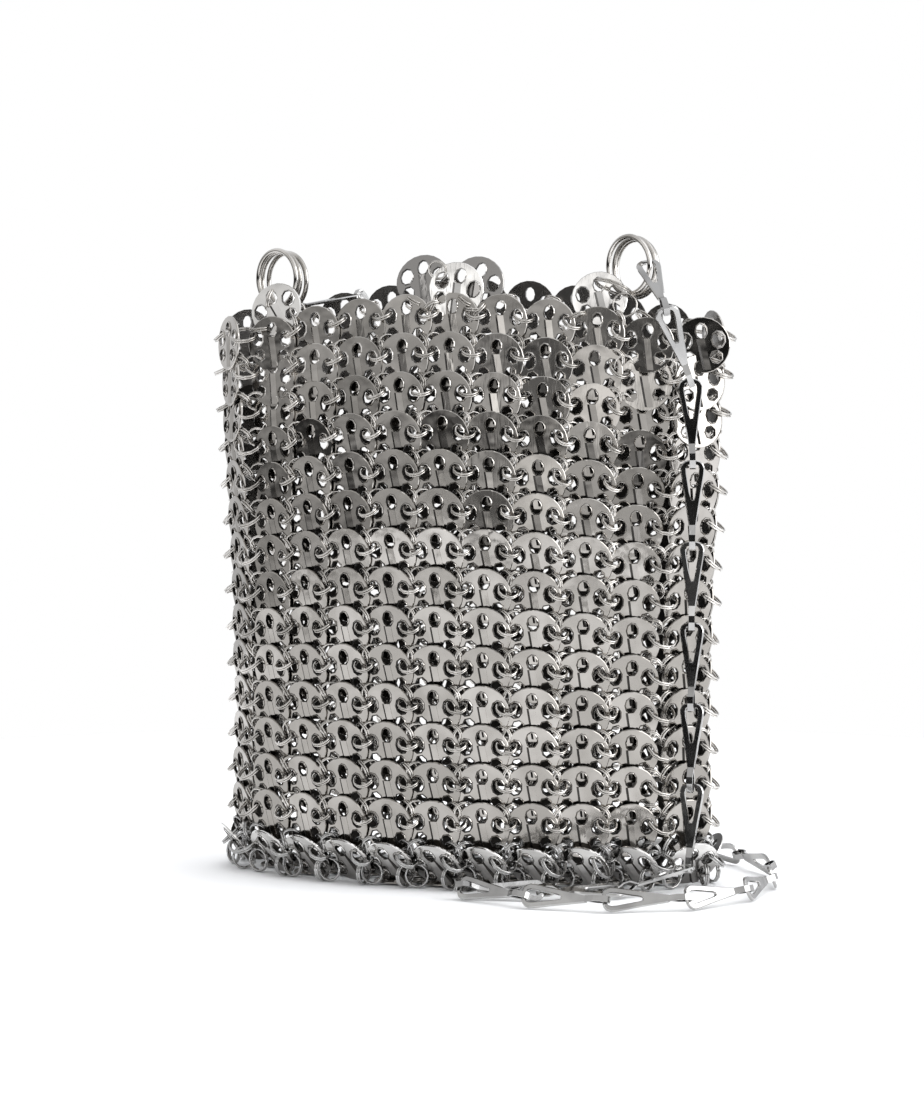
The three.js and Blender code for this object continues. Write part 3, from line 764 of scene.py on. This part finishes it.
def metal_of(kind, smudges):
    """Material of one row of METALS."""
    made = bpy.data.materials.new(kind["metal"])
    made.use_nodes = True
    wiring = Wiring(made.node_tree)
    place = wiring.add("ShaderNodeTexCoord").outputs["Object"]
    group = wiring.nodes.new("ShaderNodeGroup")
    group.node_tree = smudges
    masks = wiring.feed(group, {"Coordinates": place}).outputs
    darkness = masks["Smudge Mask"]
    if kind["by_disc"]:
        each = wiring.nodes.new("ShaderNodeAttribute")
        each.attribute_name = "tone"
        # Painted shade: the colour darkens below a height near the floor, standing in for the shadowed floor
        # that the lowest discs mirror.
        height = wiring.add("ShaderNodeSeparateXYZ", {0: place}).outputs["Z"]
        low_edge_shade = wiring.ranged(height, SHADE_BELOW, SHADE_DARKEST_AT, 0.0, LOW_EDGE_PAINTED_SHADE)
        darkness = wiring.maths("MULTIPLY_ADD", darkness, SMUDGE_SHARE, each.outputs["Fac"])
        darkness = wiring.maths("ADD", darkness, low_edge_shade)
    relief = wiring.add("ShaderNodeBump", {
        "Strength": kind["bump"], "Distance": RELIEF_DEPTH,
        "Height": wiring.maths("MULTIPLY_ADD", masks["Scratch Mask"], SCRATCH_SHARE, masks["Smudge Mask"]),
    })
    wiring.feed(wiring.nodes["Principled BSDF"], {
        "Metallic": 1.0,
        "Base Color": wiring.mix(darkness, (*kind["pale"], 1), (*kind["dark"], 1)),
        "Roughness": wiring.ranged(masks["Smudge Mask"], 0.0, 1.0, kind["clean"], kind["smudged"]),
        "Normal": relief.outputs["Normal"],
    })
    return made


smudges = cloud_group()
mail_metal, paler_disc_metal, back_metal, rim_back_metal, ring_metal, link_metal = (
    metal_of(kind, smudges) for kind in METALS
)


# ---------------------------------------------------------------- setting out


def laying_tree():
    """Geometry Nodes: one piece on every point, turned by the point's angles and a small random turn."""
    tree = bpy.data.node_groups.new("pieces_on_points", "GeometryNodeTree")
    socket(tree, "Geometry", "NodeSocketGeometry", "INPUT")
    socket(tree, "Piece", "NodeSocketObject", "INPUT")
    socket(tree, "Stray Turn", "NodeSocketFloat", "INPUT", 0.02)
    socket(tree, "Seed", "NodeSocketInt", "INPUT", 3)
    socket(tree, "Metal", "NodeSocketMaterial", "INPUT")
    socket(tree, "Back Metal", "NodeSocketMaterial", "INPUT")
    socket(tree, "Geometry", "NodeSocketGeometry", "OUTPUT")
    wiring = Wiring(tree)
    given, result = wiring.add("NodeGroupInput").outputs, wiring.add("NodeGroupOutput")
    piece = wiring.add("GeometryNodeObjectInfo", {"Object": given["Piece"]})
    turn = wiring.add("FunctionNodeEulerToRotation", {0: wiring.attribute("angles", "FLOAT_VECTOR")})
    least, most = (
        wiring.vector_maths("SCALE", {0: (way, way, way), "Scale": given["Stray Turn"]})[0] for way in (-1, 1)
    )
    stray = wiring.nodes.new("FunctionNodeRandomValue")
    stray.data_type = "FLOAT_VECTOR"
    wiring.feed(stray, {0: least, 1: most, "Seed": given["Seed"]})
    stray_turn = wiring.add("FunctionNodeEulerToRotation", {0: stray.outputs[0]})
    both = wiring.nodes.new("FunctionNodeRotateRotation")
    both.rotation_space = "LOCAL"
    wiring.feed(both, {0: turn.outputs[0], 1: stray_turn.outputs[0]})
    lay = wiring.add("GeometryNodeInstanceOnPoints", {
        "Points": given["Geometry"], "Instance": piece.outputs["Geometry"], "Rotation": both.outputs[0],
    })
    solid = wiring.add("GeometryNodeRealizeInstances", {"Geometry": lay.outputs["Instances"]})
    finish = wiring.add("GeometryNodeSetMaterial", {
        "Geometry": solid.outputs["Geometry"], "Material": given["Metal"],
    })
    # Faces marked back get the back metal: painted shade on the backs, hole walls, grooves and the rib's steep
    # sides.
    shaded_faces = wiring.add("GeometryNodeSetMaterial", {
        "Geometry": finish.outputs["Geometry"], "Selection": wiring.attribute("back", "BOOLEAN"),
        "Material": given["Back Metal"],
    })
    wiring.feed(result, {"Geometry": shaded_faces.outputs["Geometry"]})
    return tree


def ring_tree():
    """Geometry Nodes: a wire ring on every point, of the point's own diameter and angles."""
    tree = bpy.data.node_groups.new("rings_on_points", "GeometryNodeTree")
    socket(tree, "Geometry", "NodeSocketGeometry", "INPUT")
    socket(tree, "Wire", "NodeSocketFloat", "INPUT", 0.001)
    socket(tree, "Wire Sides", "NodeSocketInt", "INPUT", 5)
    socket(tree, "Segments", "NodeSocketInt", "INPUT", 12)
    socket(tree, "Metal", "NodeSocketMaterial", "INPUT")
    socket(tree, "Geometry", "NodeSocketGeometry", "OUTPUT")
    wiring = Wiring(tree)
    given, result = wiring.add("NodeGroupInput").outputs, wiring.add("NodeGroupOutput")
    circle = wiring.add("GeometryNodeCurvePrimitiveCircle", {"Radius": 1.0, "Resolution": given["Segments"]})
    turn = wiring.add("FunctionNodeEulerToRotation", {0: wiring.attribute("angles", "FLOAT_VECTOR")})
    lay = wiring.add("GeometryNodeInstanceOnPoints", {
        "Points": given["Geometry"], "Instance": circle.outputs["Curve"],
        "Rotation": turn.outputs[0], "Scale": wiring.attribute("reach", "FLOAT"),
    })
    line = wiring.add("GeometryNodeRealizeInstances", {"Geometry": lay.outputs["Instances"]})
    section = wiring.add("GeometryNodeCurvePrimitiveCircle", {
        "Radius": wiring.maths("MULTIPLY", given["Wire"], 0.5), "Resolution": given["Wire Sides"],
    })
    sweep = wiring.add("GeometryNodeCurveToMesh", {
        "Curve": line.outputs["Geometry"], "Profile Curve": section.outputs["Curve"],
    })
    solid = wiring.add("GeometryNodeRealizeInstances", {"Geometry": sweep.outputs["Mesh"]})
    finish = wiring.add("GeometryNodeSetMaterial", {
        "Geometry": solid.outputs["Geometry"], "Material": given["Metal"],
    })
    wiring.feed(result, {"Geometry": finish.outputs["Geometry"]})
    return tree


def in_scene(name, data):
    """A new object in the scene."""
    made = bpy.data.objects.new(name, data)
    bpy.context.scene.collection.objects.link(made)
    return made


def made_by(tree, name, places, values):
    """Runs a tree on points and returns a plain object. Each place has at, angles, and tone or reach."""
    points = bpy.data.meshes.new(name + "_points")
    points.from_pydata([tuple(p * MM for p in place["at"]) for place in places], [], [])
    angles = points.attributes.new("angles", "FLOAT_VECTOR", "POINT")
    for i, place in enumerate(places):
        angles.data[i].vector = place["angles"]
    for field in ("tone", "reach"):
        if field in places[0]:
            column = points.attributes.new(field, "FLOAT", "POINT")
            for i, place in enumerate(places):
                column.data[i].value = place[field]
    holder = in_scene(name + "_points", points)
    modifier = holder.modifiers.new("set_out", "NODES")
    modifier.node_group = tree
    sockets = {item.name: item.identifier for item in tree.interface.items_tree if item.in_out == "INPUT"}
    for key, value in values.items():
        modifier[sockets[key]] = value
    depsgraph = bpy.context.evaluated_depsgraph_get()
    mesh = bpy.data.meshes.new_from_object(holder.evaluated_get(depsgraph))
    mesh.name = name
    holder.modifiers.remove(modifier)
    bpy.data.objects.remove(holder)
    piece = in_scene(name, mesh)
    for attribute in ("angles", "reach", "back"):
        if attribute in mesh.attributes:
            mesh.attributes.remove(mesh.attributes[attribute])
    return piece


def template(mesh):
    """An object outside the scene that a tree can set out."""
    return bpy.data.objects.new(mesh.name, mesh)


def dress(piece, slot, *nodes):
    """Hides the solids that a piece stands for, if there are any, and attaches it to the root body; slot is not
    used.
    """
    if nodes:
        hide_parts(*nodes)
    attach(piece, "root")


laying = laying_tree()
ringing = ring_tree()
disc = template(disc_mesh())
bottom_disc = template(disc_mesh(BROAD_RIB, BROAD_RIB_RISE))
link = template(link_mesh())

chance = random.Random(11)


def laid(name, places, shape, metal, back, stray=0.0, seed=1):
    """One piece of stamped shapes; stray is how far single ones turn by chance."""
    return made_by(laying, name, places, {
        "Piece": shape, "Stray Turn": stray, "Seed": seed, "Metal": metal, "Back Metal": back,
    })


def wound(name, places, wire, sides, segments, metal):
    """One piece of round wire rings."""
    piece = made_by(ringing, name, places, {
        "Wire": wire * MM, "Wire Sides": sides, "Segments": segments, "Metal": metal,
    })
    for polygon in piece.data.polygons:
        polygon.use_smooth = True
    return piece


def ring_place(centre, first, second, diameter, wire=MAIL_WIRE):
    """A ring in the plane of two directions."""
    first = Vector(first).normalized()
    normal = first.cross(Vector(second)).normalized()
    other = normal.cross(first)
    angles = Matrix((first, other, normal)).transposed().to_euler()
    return {"at": centre, "angles": angles, "reach": (diameter - wire) / 2 * MM, "normal": normal}


def double_ring(centre, first, second, diameter):
    """Two turns of wire side by side, as the mail's rings are wound."""
    made = [ring_place(centre, first, second, diameter) for _ in range(2)]
    for place, side in zip(made, (-0.5, 0.5)):
        place["at"] = centre + place["normal"] * MAIL_WIRE_APART * side
    return made


def fringe_seat(seat, on_front):
    """A disc of the bottom row, turned about the height axis, leaning out and rolled in its plane."""
    heading = math.atan2(seat.along.y, seat.along.x)
    if on_front:
        facing = math.radians(FRINGE_FACING_DEG) + FRINGE_TURN_SHARE * heading
        facing = min(facing, heading - math.radians(FRINGE_LEAST_TURN_DEG))
    else:
        facing = heading - math.radians(FRINGE_BACK_TURN_DEG)
    along = Vector((math.cos(facing), math.sin(facing), 0))
    outward = along.cross(UP)
    up = UP + outward * math.tan(math.radians(FRINGE_LEAN_DEG))
    return Seat(seat.centre - UP * FRINGE_DROP, along, up).turned(roll=FRINGE_ROLL_DEG)


# Turned seats of all discs, row by row.
mail = []
for row in range(1, ROW_COUNT):
    pitch = table_value(DISC_TURNS, "row", row, "pitch")
    seats = [seat.turned(tip=pitch - seat.pitch(), swing=MAIL_SWING_DEG) for seat in row_seats(row)]
    lift = table_value(BACK_LIFTS, "row", row, "lift")
    for i, seat in enumerate(seats[FRONT_COLUMNS + 1 : -1]):
        at_corner = i in (0, FRONT_COLUMNS + 1)
        seat.centre.z += lift / 2 if at_corner else lift
    mail.append(seats)
mail[0][FRONT_COLUMNS] = mail[0][FRONT_COLUMNS].turned(**RIM_END_TURN)
mail.append([fringe_seat(seat, i < FRONT_COLUMNS) for i, seat in enumerate(row_seats(ROW_COUNT))])


def row_discs(row, seats):
    """Discs of one row, darkened by the row's painted shade and some more tarnished than others."""
    last = row == ROW_COUNT
    tone = table_value(DISC_TURNS, "row", row, "tone")
    tarnish = LAST_ROW_TARNISH_SPREAD if last else TARNISH_SPREAD
    places = [
        {"at": seat.centre, "angles": seat.euler(), "tone": tone + chance.uniform(0, tarnish)} for seat in seats
    ]
    # The last row takes the paler disc metal: painted light on discs that mirror the shadowed floor.
    shape, metal = (bottom_disc, paler_disc_metal) if last else (disc, mail_metal)
    # Backs, hole walls, grooves and rib sides take a back metal as painted shade, lighter on the top rows that
    # are seen lit through the mouth.
    back = rim_back_metal if row <= PALE_BACK_ROWS else back_metal
    stray = math.radians(table_value(DISC_TURNS, "row", row, "spread"))
    return laid(f"mail_discs_{row:02d}", places, shape, metal, back, stray, row)


def side_rings(row, seats):
    """Rings between neighbours of a row, and where what hangs from the row above is hooked in."""
    rings = []
    hangs = []
    least, most = LAST_ROW_DROOP_DEG if row == ROW_COUNT else SIDE_RING_DROOP_DEG
    for seat, after in zip(seats, seats[1:] + seats[:1]):
        right = seat.passing(SIDE_PASS, 1)
        left = after.passing(SIDE_PASS, -1)
        span = left - right
        outward = (seat.outward + after.outward).normalized()
        diameter = max(SIDE_RING_DIAMETER, min(CORNER_RING_DIAMETER, span.length + SIDE_RING_SLACK))
        droop = math.radians(chance.uniform(least, most))
        lean = outward * math.cos(droop) - UP * math.sin(droop)
        middle = (right + left) / 2 + lean * SIDE_RING_FORWARD
        tip = UP * chance.uniform(-SIDE_RING_TIP, SIDE_RING_TIP)
        rings += double_ring(middle, span + tip, lean, diameter)
        hangs.append(middle - lean * SIDE_RING_FORWARD * 2)
    return rings, hangs


def low_rings(upper, hangs):
    """Rings that hang a row from the low holes of the row above."""
    rings = []
    for i, seat in enumerate(upper):
        for side, hang in ((1, hangs[i]), (-1, hangs[i - 1])):
            hole = seat.passing(LOW_PASS, side)
            down = (hang - hole).normalized()
            flat = seat.outward.cross(down).normalized()
            twist = math.radians(chance.uniform(*LOW_RING_TWIST_DEG))
            across = seat.outward * math.cos(twist) + flat * math.sin(twist) * side
            middle = hole + down * (LOW_RING_DIAMETER - MAIL_WIRE) / 2
            rings += double_ring(middle, down, across, LOW_RING_DIAMETER)
    return rings


def fringe_rings(seats):
    """Rings that stand on the floor below the last row."""
    rings = []
    for seat in seats:
        for side, form in FRINGE_RINGS.items():
            hole = seat.passing(FLOOR_PASS, side)
            heading = Vector((seat.along.x, seat.along.y, 0)).normalized()
            sway = math.radians(chance.uniform(*FRINGE_RING_SWAY_DEG) + form["turn"])
            across = Matrix.Rotation(sway, 3, "Z") @ heading * -1
            reach = (FRINGE_RING_DIAMETER - MAIL_WIRE) / 2
            middle = hole + across * reach + heading.cross(UP) * form["forward"]
            middle.z = FRINGE_RING_DIAMETER / 2 + FRINGE_RING_LIFT
            rings += double_ring(middle, across, UP, FRINGE_RING_DIAMETER)
    return rings


for row, seats in enumerate(mail, start=1):
    last = row == ROW_COUNT
    dress(row_discs(row, seats), "mail", f"disc_row_{row:02d}")
    rings, hangs = side_rings(row, seats)
    if row == 1:
        rim_hangs = hangs
    else:
        rings += low_rings(mail[row - 2], hangs)
    if last:
        rings += fringe_rings(seats)
    wire, metal = (FRINGE_WIRE, link_metal) if last else (MAIL_WIRE, ring_metal)
    piece = wound(f"mail_rings_{row:02d}", rings, wire, MAIL_WIRE_SIDES, MAIL_RING_SEGMENTS, metal)
    dress(piece, "ring")

# Discs of the bag's bottom, laid flat inside the feet of the last row.
feet = [seat.at(0, -RADIUS, -1) for seat in row_seats(ROW_COUNT)]


def inside(x, y, margin):
    for here, after in zip(feet, feet[1:] + feet[:1]):
        edge = Vector((after.x - here.x, after.y - here.y)).normalized()
        if edge.x * (y - here.y) - edge.y * (x - here.x) < margin:
            return False
    return True


floor_discs = []
for column in range(-BOTTOM_COLUMNS, BOTTOM_COLUMNS + 1):
    for line in range(-BOTTOM_LINES, BOTTOM_LINES + 1):
        x, y = column * COLUMN_PITCH, line * BOTTOM_ROW_PITCH
        if inside(x, y, BOTTOM_MARGIN):
            flat = Seat((x, y, BOTTOM_DISC_HEIGHT), (1, 0, 0), (0, 1, 0)).turned(**BOTTOM_TURN)
            tone = chance.random() * BOTTOM_TARNISH
            floor_discs.append({"at": flat.centre, "angles": flat.euler(), "tone": tone})
dress(laid("bottom_discs", floor_discs, disc, mail_metal, back_metal), "mail", "base_panel")


# ---------------------------------------------------------------- rim


def tab_seat(tab):
    """Seat of a disc above the rim before it is turned by itself."""
    seats = row_seats(1)
    position = tab["column"] + (FRONT_COLUMNS - 1) / 2
    index = min(math.floor(position), FRONT_COLUMNS - 2)
    centre = seats[index].centre.lerp(seats[index + 1].centre, position - index)
    along = seats[round(position)].along
    behind = UP.cross(along)
    centre = centre + UP * DISC_DIAMETER * tab["lift"] + behind * DISC_DIAMETER * tab["back"]
    lean = math.radians(tab["lean"])
    return Seat(centre, along, UP * math.cos(lean) + behind * math.sin(lean))


def rim_disc(tab, seat, name):
    places = [{"at": seat.centre, "angles": seat.euler(), "tone": tab["tone"]}]
    return laid(name, places, disc, paler_disc_metal, rim_back_metal)


tabs = {tab["name"]: tab_seat(tab) for tab in RIM_TABS}
rim_seats = {}
for tab in RIM_TABS:
    seat = tabs[tab["name"]].turned(swing=tab["swing"], roll=tab["roll"])
    seat.centre += seat.outward * TAB_DISC_FORWARD
    rim_seats[tab["name"]] = seat
    dress(rim_disc(tab, seat, tab["name"] + "_disc"), "rim", tab["name"])

# The closure's front disc, linked between the two behind it.
front_disc = tab_seat(CLOSURE_DISC).turned(swing=CLOSURE_DISC["swing"], roll=CLOSURE_DISC["roll"])
dress(rim_disc(CLOSURE_DISC, front_disc, "closure_front_disc"), "rim")


def stack_foot(stack):
    """Lowest point of the first ring of a stack."""
    steps = Vector((stack["aside"], stack["behind"], stack["above"]))
    return tabs[stack["tab"]].centre + steps * STRAP_RING_DIAMETER


def side_join(seat, join, diameter):
    hole = seat.at(*join["hole"])
    return double_ring(hole + Vector(join["middle"]), join["first"], join["second"], diameter)


# Jump rings that join the discs above the rim to the mail, to each other and to the strap rings.
joins = []
for seat in [*rim_seats.values(), front_disc]:
    for side in (-1, 1):
        hole = seat.passing(RIM_PASS, side)
        hang = min(rim_hangs, key=lambda place: (place - hole).length)
        down = (hang - hole).normalized()
        across = seat.outward + seat.along * JOIN_RING_TURN * side
        joins += double_ring(hole + down * JOIN_RING_DROP, down, across, LOW_RING_DIAMETER)
joins += side_join(front_disc, CLOSURE_JOIN, CLOSURE_JOIN["diameter"])
for side, diameter in STRAP_JOIN_DIAMETERS.items():
    joins += side_join(rim_seats[f"strap_tab_{side}"], STRAP_JOIN, diameter)
for stack in RING_STACKS:
    seat = rim_seats[stack["tab"]]
    hole = seat.at(0, STACK_HOLE_Y, 0)
    foot = stack_foot(stack)
    reach = foot - hole
    diameter = max(reach.length + STACK_JOIN_REST, STACK_JOIN_LEAST)
    joins += double_ring((hole + foot) / 2, reach, seat.outward, diameter)
piece = wound("rim_join_rings", joins, MAIL_WIRE, MAIL_WIRE_SIDES, JOIN_RING_SEGMENTS, ring_metal)
dress(piece, "ring")

# Large rings of the strap.
for stack in RING_STACKS:
    turn = math.radians(stack["heading"])
    axis = Vector((math.sin(turn), math.cos(turn), 0))
    sideways = Vector((math.cos(turn), -math.sin(turn), 0))
    centre = stack_foot(stack) + UP * (STRAP_RING_DIAMETER - STRAP_RING_WIRE) / 2
    for i, spacing in enumerate([*stack["spacing"], 0], start=1):
        place = ring_place(centre, sideways, UP, STRAP_RING_DIAMETER, STRAP_RING_WIRE)
        name = f"strap_ring_{stack['side']}_{i}"
        piece = wound(
            name + "_wire", [place], STRAP_RING_WIRE, STRAP_RING_WIRE_SIDES, STRAP_RING_SEGMENTS, ring_metal
        )
        dress(piece, "ring", name)
        centre = centre + axis * STRAP_RING_WIRE * spacing
        centre = centre + sideways * STRAP_RING_WIRE * stack["sideways"]
        centre = centre - UP * STRAP_RING_WIRE * stack["down"]


# ---------------------------------------------------------------- strap


def spline_points(points, steps):
    """Points of a centripetal curve through the given points, at equal shares of its spans."""
    spans = len(points) - 1
    samples = []
    for step in range(steps + 1):
        place = spans * step / steps
        index = min(math.floor(place), spans - 1)
        share = place - index
        p1, p2 = points[index], points[index + 1]
        p0 = points[index - 1] if index else p1 * 2 - p2
        p3 = points[index + 2] if index + 2 <= spans else p2 * 2 - p1
        d0, d1, d2 = ((b - a).length_squared ** 0.25 for a, b in ((p0, p1), (p1, p2), (p2, p3)))
        t1 = ((p1 - p0) / d0 - (p2 - p0) / (d0 + d1) + (p2 - p1) / d1) * d1
        t2 = ((p2 - p1) / d1 - (p3 - p1) / (d1 + d2) + (p3 - p2) / d2) * d1
        c2 = (p2 - p1) * 3 - t1 * 2 - t2
        c3 = (p1 - p2) * 2 + t1 + t2
        samples.append(p1 + t1 * share + c2 * share**2 + c3 * share**3)
    return samples


def run_joints(run):
    """Joints at equal straight distances along a run of the strap, with their shares of the run."""
    points = [Vector(p["at"]) for p in run]
    samples = spline_points(points, ROUTE_SAMPLES)
    length = sum((b - a).length for a, b in zip(samples, samples[1:]))

    def walk(pitch):
        joints = [(samples[0], 0.0)]
        for i in range(1, len(samples)):
            if (samples[i] - joints[-1][0]).length >= pitch:
                joints.append((samples[i], i / ROUTE_SAMPLES))
        return joints

    links = round(length / LINK_PITCH)
    # The pitch that fits a whole number of links to the run.
    low, high = LINK_PITCH * 0.8, LINK_PITCH * 1.2
    for _ in range(22):
        pitch = (low + high) / 2
        if len(walk(pitch)) > links:
            low = pitch
        else:
            high = pitch
    return walk(low)[: links + 1]


number = 1
for run in (FRONT_RUN, BACK_RUN):
    joints = run_joints(run)
    for (start, share), (end, next_share) in zip(joints, joints[1:]):
        middle = (share + next_share) / 2
        index = min(math.floor(middle * (len(run) - 1)), len(run) - 2)
        face = Vector(run[index]["face"]).normalized()
        along = (end - start).normalized()
        outward = (face - along * face.dot(along)).normalized()
        across = outward.cross(along)
        hanging = run is FRONT_RUN and along.z < -LOW_LINK_STEEPNESS
        if hanging and (start.z + end.z) / 2 < LOW_LINK_HEIGHT:
            tip = Matrix.Rotation(math.radians(-LOW_LINK_TIP_DEG), 3, across)
            centre = (start + end) / 2
            start = centre + tip @ (start - centre)
            along, outward = tip @ along, tip @ outward
        angles = Matrix((along, across, outward)).transposed().to_euler()
        name = f"strap_link_{number:02d}"
        piece = laid(name + "_shape", [{"at": start, "angles": angles}], link, link_metal, link_metal)
        dress(piece, "link", name)
        number += 1

# The templates have all been set out.
for shape in (disc, bottom_disc, link):
    bpy.data.objects.remove(shape)


# ---------------------------------------------------------------- camera, floor and light

# The camera fitted to the photograph; lengths of the picture in its own pixels.
PHOTO_WIDTH = 924
PHOTO_HEIGHT = 1110
AZIMUTH = math.radians(16.76)
ELEVATION = math.radians(4.49)
DISTANCE = 1.5
TARGET = Vector((0, 0, 0.115))
TARGET_PIXEL = (468.75, 583)
FOCAL_PIXELS = 3820
SENSOR_WIDTH = 36

away = Vector((
    math.sin(AZIMUTH) * math.cos(ELEVATION), -math.cos(AZIMUTH) * math.cos(ELEVATION), math.sin(ELEVATION),
))
camera_data = bpy.data.cameras.new("camera")
camera = in_scene("camera", camera_data)
camera.location = TARGET + away * DISTANCE
camera.rotation_euler = (-away).to_track_quat("-Z", "Y").to_euler()
camera_data.sensor_fit = "AUTO"
camera_data.sensor_width = SENSOR_WIDTH
camera_data.lens = FOCAL_PIXELS * SENSOR_WIDTH / PHOTO_HEIGHT
camera_data.shift_x = (PHOTO_WIDTH / 2 - TARGET_PIXEL[0]) / PHOTO_HEIGHT
camera_data.shift_y = (TARGET_PIXEL[1] - PHOTO_HEIGHT / 2) / PHOTO_HEIGHT
camera_data.clip_start = 0.05
camera_data.clip_end = 50
bpy.context.scene.camera = camera

FLOOR_RADIUS = 0.5
FLOOR_SIDES = 96
floor_mesh = bpy.data.meshes.new("floor")
turns = [2 * math.pi * k / FLOOR_SIDES for k in range(FLOOR_SIDES)]
floor_edge = [(FLOOR_RADIUS * math.cos(turn), FLOOR_RADIUS * math.sin(turn), 0) for turn in turns]
floor_mesh.from_pydata(floor_edge, [], [tuple(range(FLOOR_SIDES))])
floor = in_scene("floor", floor_mesh)
floor_paint = bpy.data.materials.new("pale_floor")
floor_paint.use_nodes = True
wiring = Wiring(floor_paint.node_tree)
wiring.feed(wiring.nodes["Principled BSDF"], {
    "Base Color": (0.9, 0.905, 0.915, 1), "Roughness": 0.9, "Specular IOR Level": 0.1,
})
floor_mesh.materials.append(floor_paint)

# The studio that the metal mirrors. In front it is a dark room around the camera, lighter towards
# the floor and the ceiling; height is that of the direction looked in, from -1 to 1.
ROOM_IN_FRONT = [
    {"height": -0.6, "light": 0.78},
    {"height": -0.3, "light": 0.72},
    {"height": -0.22, "light": 0.64},
    {"height": -0.17, "light": 0.42},
    {"height": -0.12, "light": 0.06},
    {"height": -0.04, "light": 0.012},
    {"height": 0.02, "light": 0.03},
    {"height": 0.06, "light": 0.34},
    {"height": 0.12, "light": 0.54},
    {"height": 0.3, "light": 0.88},
    {"height": 0.5, "light": 0.85},
    {"height": 1, "light": 0.7},
]
WALLS = (0.85, 0.86, 0.88, 1)
# The dark room lies along this axis; its edges are cosines of the angle from it.
FRONT_AXIS = Vector((-0.375, -0.927, 0)).normalized()
ROOM_EDGES = (0.15, 0.45)
# Panels that stand round the room, by turn from the front towards the right in degrees.
PANELS_AROUND = [
    {"turn": -100, "light": 1.0},
    {"turn": -75, "light": 0.9},
    {"turn": -30, "light": 1.0},
    {"turn": -12, "light": 1.0},
    {"turn": -10, "light": 0.3},
    {"turn": -3, "light": 0.3},
    {"turn": -1, "light": 2.0},
    {"turn": 9, "light": 2.0},
    {"turn": 12, "light": 1.0},
    {"turn": 45, "light": 1.0},
    {"turn": 60, "light": 1.7},
    {"turn": 120, "light": 1.7},
    {"turn": 150, "light": 1.0},
]

world = bpy.data.worlds.new("studio")
bpy.context.scene.world = world
world.use_nodes = True
wiring = Wiring(world.node_tree)


def light_ramp(table, place, value):
    """Greys of a table's light column, at the places that the function gives its rows."""
    ramp = wiring.add("ShaderNodeValToRGB", {"Fac": value})
    stops = ramp.color_ramp.elements
    while len(stops) < len(table):
        stops.new(0.5)
    for stop, entry in zip(stops, table):
        stop.position = place(entry)
        stop.color = (entry["light"], entry["light"], entry["light"], 1)
    return ramp.outputs["Color"]


direction = wiring.add("ShaderNodeTexCoord").outputs["Generated"]
parts = wiring.add("ShaderNodeSeparateXYZ", {0: direction}).outputs
height = wiring.ranged(parts["Z"], -1.0, 1.0)
room = light_ramp(ROOM_IN_FRONT, lambda entry: (entry["height"] + 1) / 2, height)
facing = wiring.vector_maths("DOT_PRODUCT", {0: direction, 1: FRONT_AXIS})["Value"]
walls = wiring.mix(wiring.ranged(facing, *ROOM_EDGES), WALLS, room)
turn = wiring.maths("ARCTAN2", parts["X"], wiring.maths("MULTIPLY", parts["Y"], -1))
turn = wiring.ranged(turn, -math.pi, math.pi)
panels = light_ramp(PANELS_AROUND, lambda entry: (entry["turn"] + 180) / 360, turn)
studio = wiring.feed(wiring.nodes["Background"], {
    "Color": wiring.mix(1, walls, panels, "MULTIPLY"), "Strength": 1.0,
})
# The camera itself sees plain white behind the bag.
white = wiring.add("ShaderNodeBackground", {"Color": (1, 1, 1, 1)})
by_camera = wiring.add("ShaderNodeLightPath").outputs["Is Camera Ray"]
seen = wiring.add("ShaderNodeMixShader", {"Fac": by_camera, 1: studio.outputs[0], 2: white.outputs[0]})
wiring.feed(wiring.nodes["World Output"], {"Surface": seen.outputs[0]})

# Soft lights: place, aim and size in metres, power in watts, and whether the metal mirrors them.
SOFT_LIGHTS = [
    {"light": "overhead_light", "at": (0.15, 0.15, 1.5), "towards": (0, 0, 0),
     "width": 1.6, "height": 1.6, "power": 15, "mirrored": False},
    {"light": "front_light", "at": (-0.5, -1.5, 0.9), "towards": (0, -0.1, 0),
     "width": 1.2, "height": 0.8, "power": 2, "mirrored": False},
    {"light": "right_light", "at": (1.3, -0.1, 0.6), "towards": (0, 0, 0.1),
     "width": 0.9, "height": 1.1, "power": 8, "mirrored": True},
]
for form in SOFT_LIGHTS:
    data = bpy.data.lights.new(form["light"], "AREA")
    data.shape = "RECTANGLE"
    data.size, data.size_y = form["width"], form["height"]
    data.energy = form["power"]
    lamp = in_scene(form["light"], data)
    lamp.location = form["at"]
    aim = Vector(form["towards"]) - Vector(form["at"])
    lamp.rotation_euler = aim.to_track_quat("-Z", "Y").to_euler()
    lamp.visible_glossy = form["mirrored"]

bpy.context.scene.view_settings.view_transform = "Standard"
